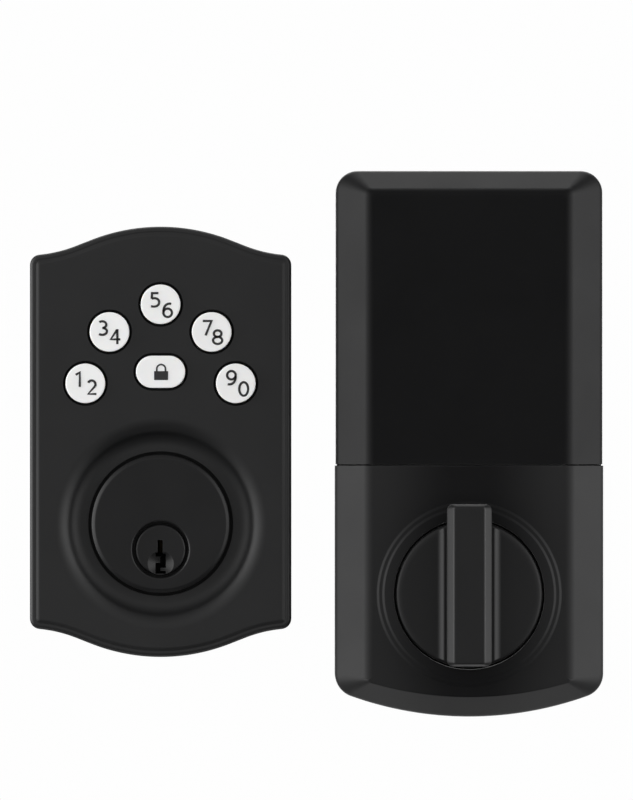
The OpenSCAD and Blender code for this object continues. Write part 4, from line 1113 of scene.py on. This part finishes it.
def softbox(name, at, aim, width, height, power):
    data = bpy.data.lights.new(name, "AREA")
    data.shape = "RECTANGLE"
    data.size = width
    data.size_y = height
    data.energy = power
    obj = bpy.data.objects.new(name, data)
    obj.location = at
    obj.rotation_euler = (Vector(aim) - Vector(at)).to_track_quat("-Z", "Y").to_euler()
    bpy.context.scene.collection.objects.link(obj)


def make_lights():
    """A tall strip box on each side, softer ones above and below, and a fill for the back."""
    low, high = cad_box
    centre = Vector(((low.x + high.x) / 2, 0, (low.z + high.z) / 2))
    reach = 1.1
    for name, way, width, height, power in (
            ("left_strip", (-0.99, -0.13, 0.06), 0.24, 1.1, 6.2),
            ("right_strip", (0.99, -0.13, 0.06), 0.24, 1.1, 4.2),
            ("top_strip", (0.0, 0.38, 0.92), 1.1, 0.3, 4.3),
            ("low_strip", (0.0, 0.38, -0.92), 1.1, 0.3, 1.9),
            ("back_fill", (0.0, 0.94, 0.3), 0.9, 0.7, 5.0)):
        softbox(name, centre + Vector(way) * reach, centre, width, height, power)


def make_world():
    """White sweep behind; for light, dim straight in front and below, brighter at the sides."""
    world = bpy.data.worlds.new("studio")
    world.use_nodes = True
    tree = world.node_tree
    back = tree.nodes["Background"]
    way = node(tree, "ShaderNodeTexCoord").outputs["Generated"]
    axes = node(tree, "ShaderNodeSeparateXYZ", {"Vector": way})
    side = combine(tree, "ABSOLUTE", axes.outputs["X"], 0.0)
    glow = ramp(tree, axes.outputs["Y"], -0.97, -0.8, 0.44, 1.05)
    glow = combine(tree, "ADD", glow, ramp(tree, side, 0.5, 0.85, 0.0, 1.7))
    glow = combine(tree, "MULTIPLY", glow, ramp(tree, axes.outputs["Y"], -0.05, 0.5, 1.0, 0.12))
    glow = combine(tree, "MULTIPLY", glow, ramp(tree, axes.outputs["Z"], -0.15, -0.5, 1.0, 0.12))
    glow = combine(tree, "MULTIPLY", glow, ramp(tree, axes.outputs["Z"], 0.3, 0.75, 1.0, 0.4))
    seen = node(tree, "ShaderNodeLightPath").outputs["Is Camera Ray"]
    strength = node(tree, "ShaderNodeMix", {0: seen, 2: glow, 3: 0.99}, data_type="FLOAT").outputs[0]
    back.inputs["Color"].default_value = colour(1.0, 1.0, 1.0)
    tree.links.new(strength, back.inputs["Strength"])
    bpy.context.scene.world = world


def make_floor():
    """Pale floor well below the lock, out of the front view."""
    low, high = cad_box
    bm = bmesh.new()
    radius = 0.3
    centre = Vector(((low.x + high.x) / 2, 0, low.z - 0.75))
    ring = [bm.verts.new(centre + Vector((radius * math.cos(2 * math.pi * i / 96),
                                          radius * math.sin(2 * math.pi * i / 96), 0))) for i in range(96)]
    bm.faces.new(ring)
    mesh = bpy.data.meshes.new("floor")
    bm.to_mesh(mesh)
    bm.free()
    material, tree, shader, place = start_material("floor_pale")
    cloud = noise(tree, place, 6.0, 3.0)
    light, dark = colour(0.86, 0.86, 0.86), colour(0.83, 0.83, 0.83)
    tone = blend_colours(tree, spread(tree, cloud, 0.0, 1.0), light, dark)
    finish_material(tree, shader, tone, spread(tree, cloud, 0.55, 0.65), cloud, 0.05)
    mesh.materials.append(material)
    obj = bpy.data.objects.new("floor", mesh)
    bpy.context.scene.collection.objects.link(obj)


# ---------------------------------------------------------------- making

make_camera()
make_lights()
make_world()
make_floor()
bpy.context.scene.view_settings.view_transform = "Standard"

finish_cad_nodes()
keypad_housing()
for key_name, key_digits in ROUND_KEYS.items():
    round_key(key_name)
    key_marks(key_name, key_digits)
lock_key()
padlock_mark()
cylinder_collar()
key_plug()
inside_shell("cover", COVER_W, "battery_cover_shell", "battery_cover", "inside_black", ["battery_cover"])
inside_shell("housing", HOUSING_W, "lower_housing_shell", "root", "housing_black", ["lower_housing"],
             thumbturn_seat)
seam_tongue()
thumbturn()
battery_cells()
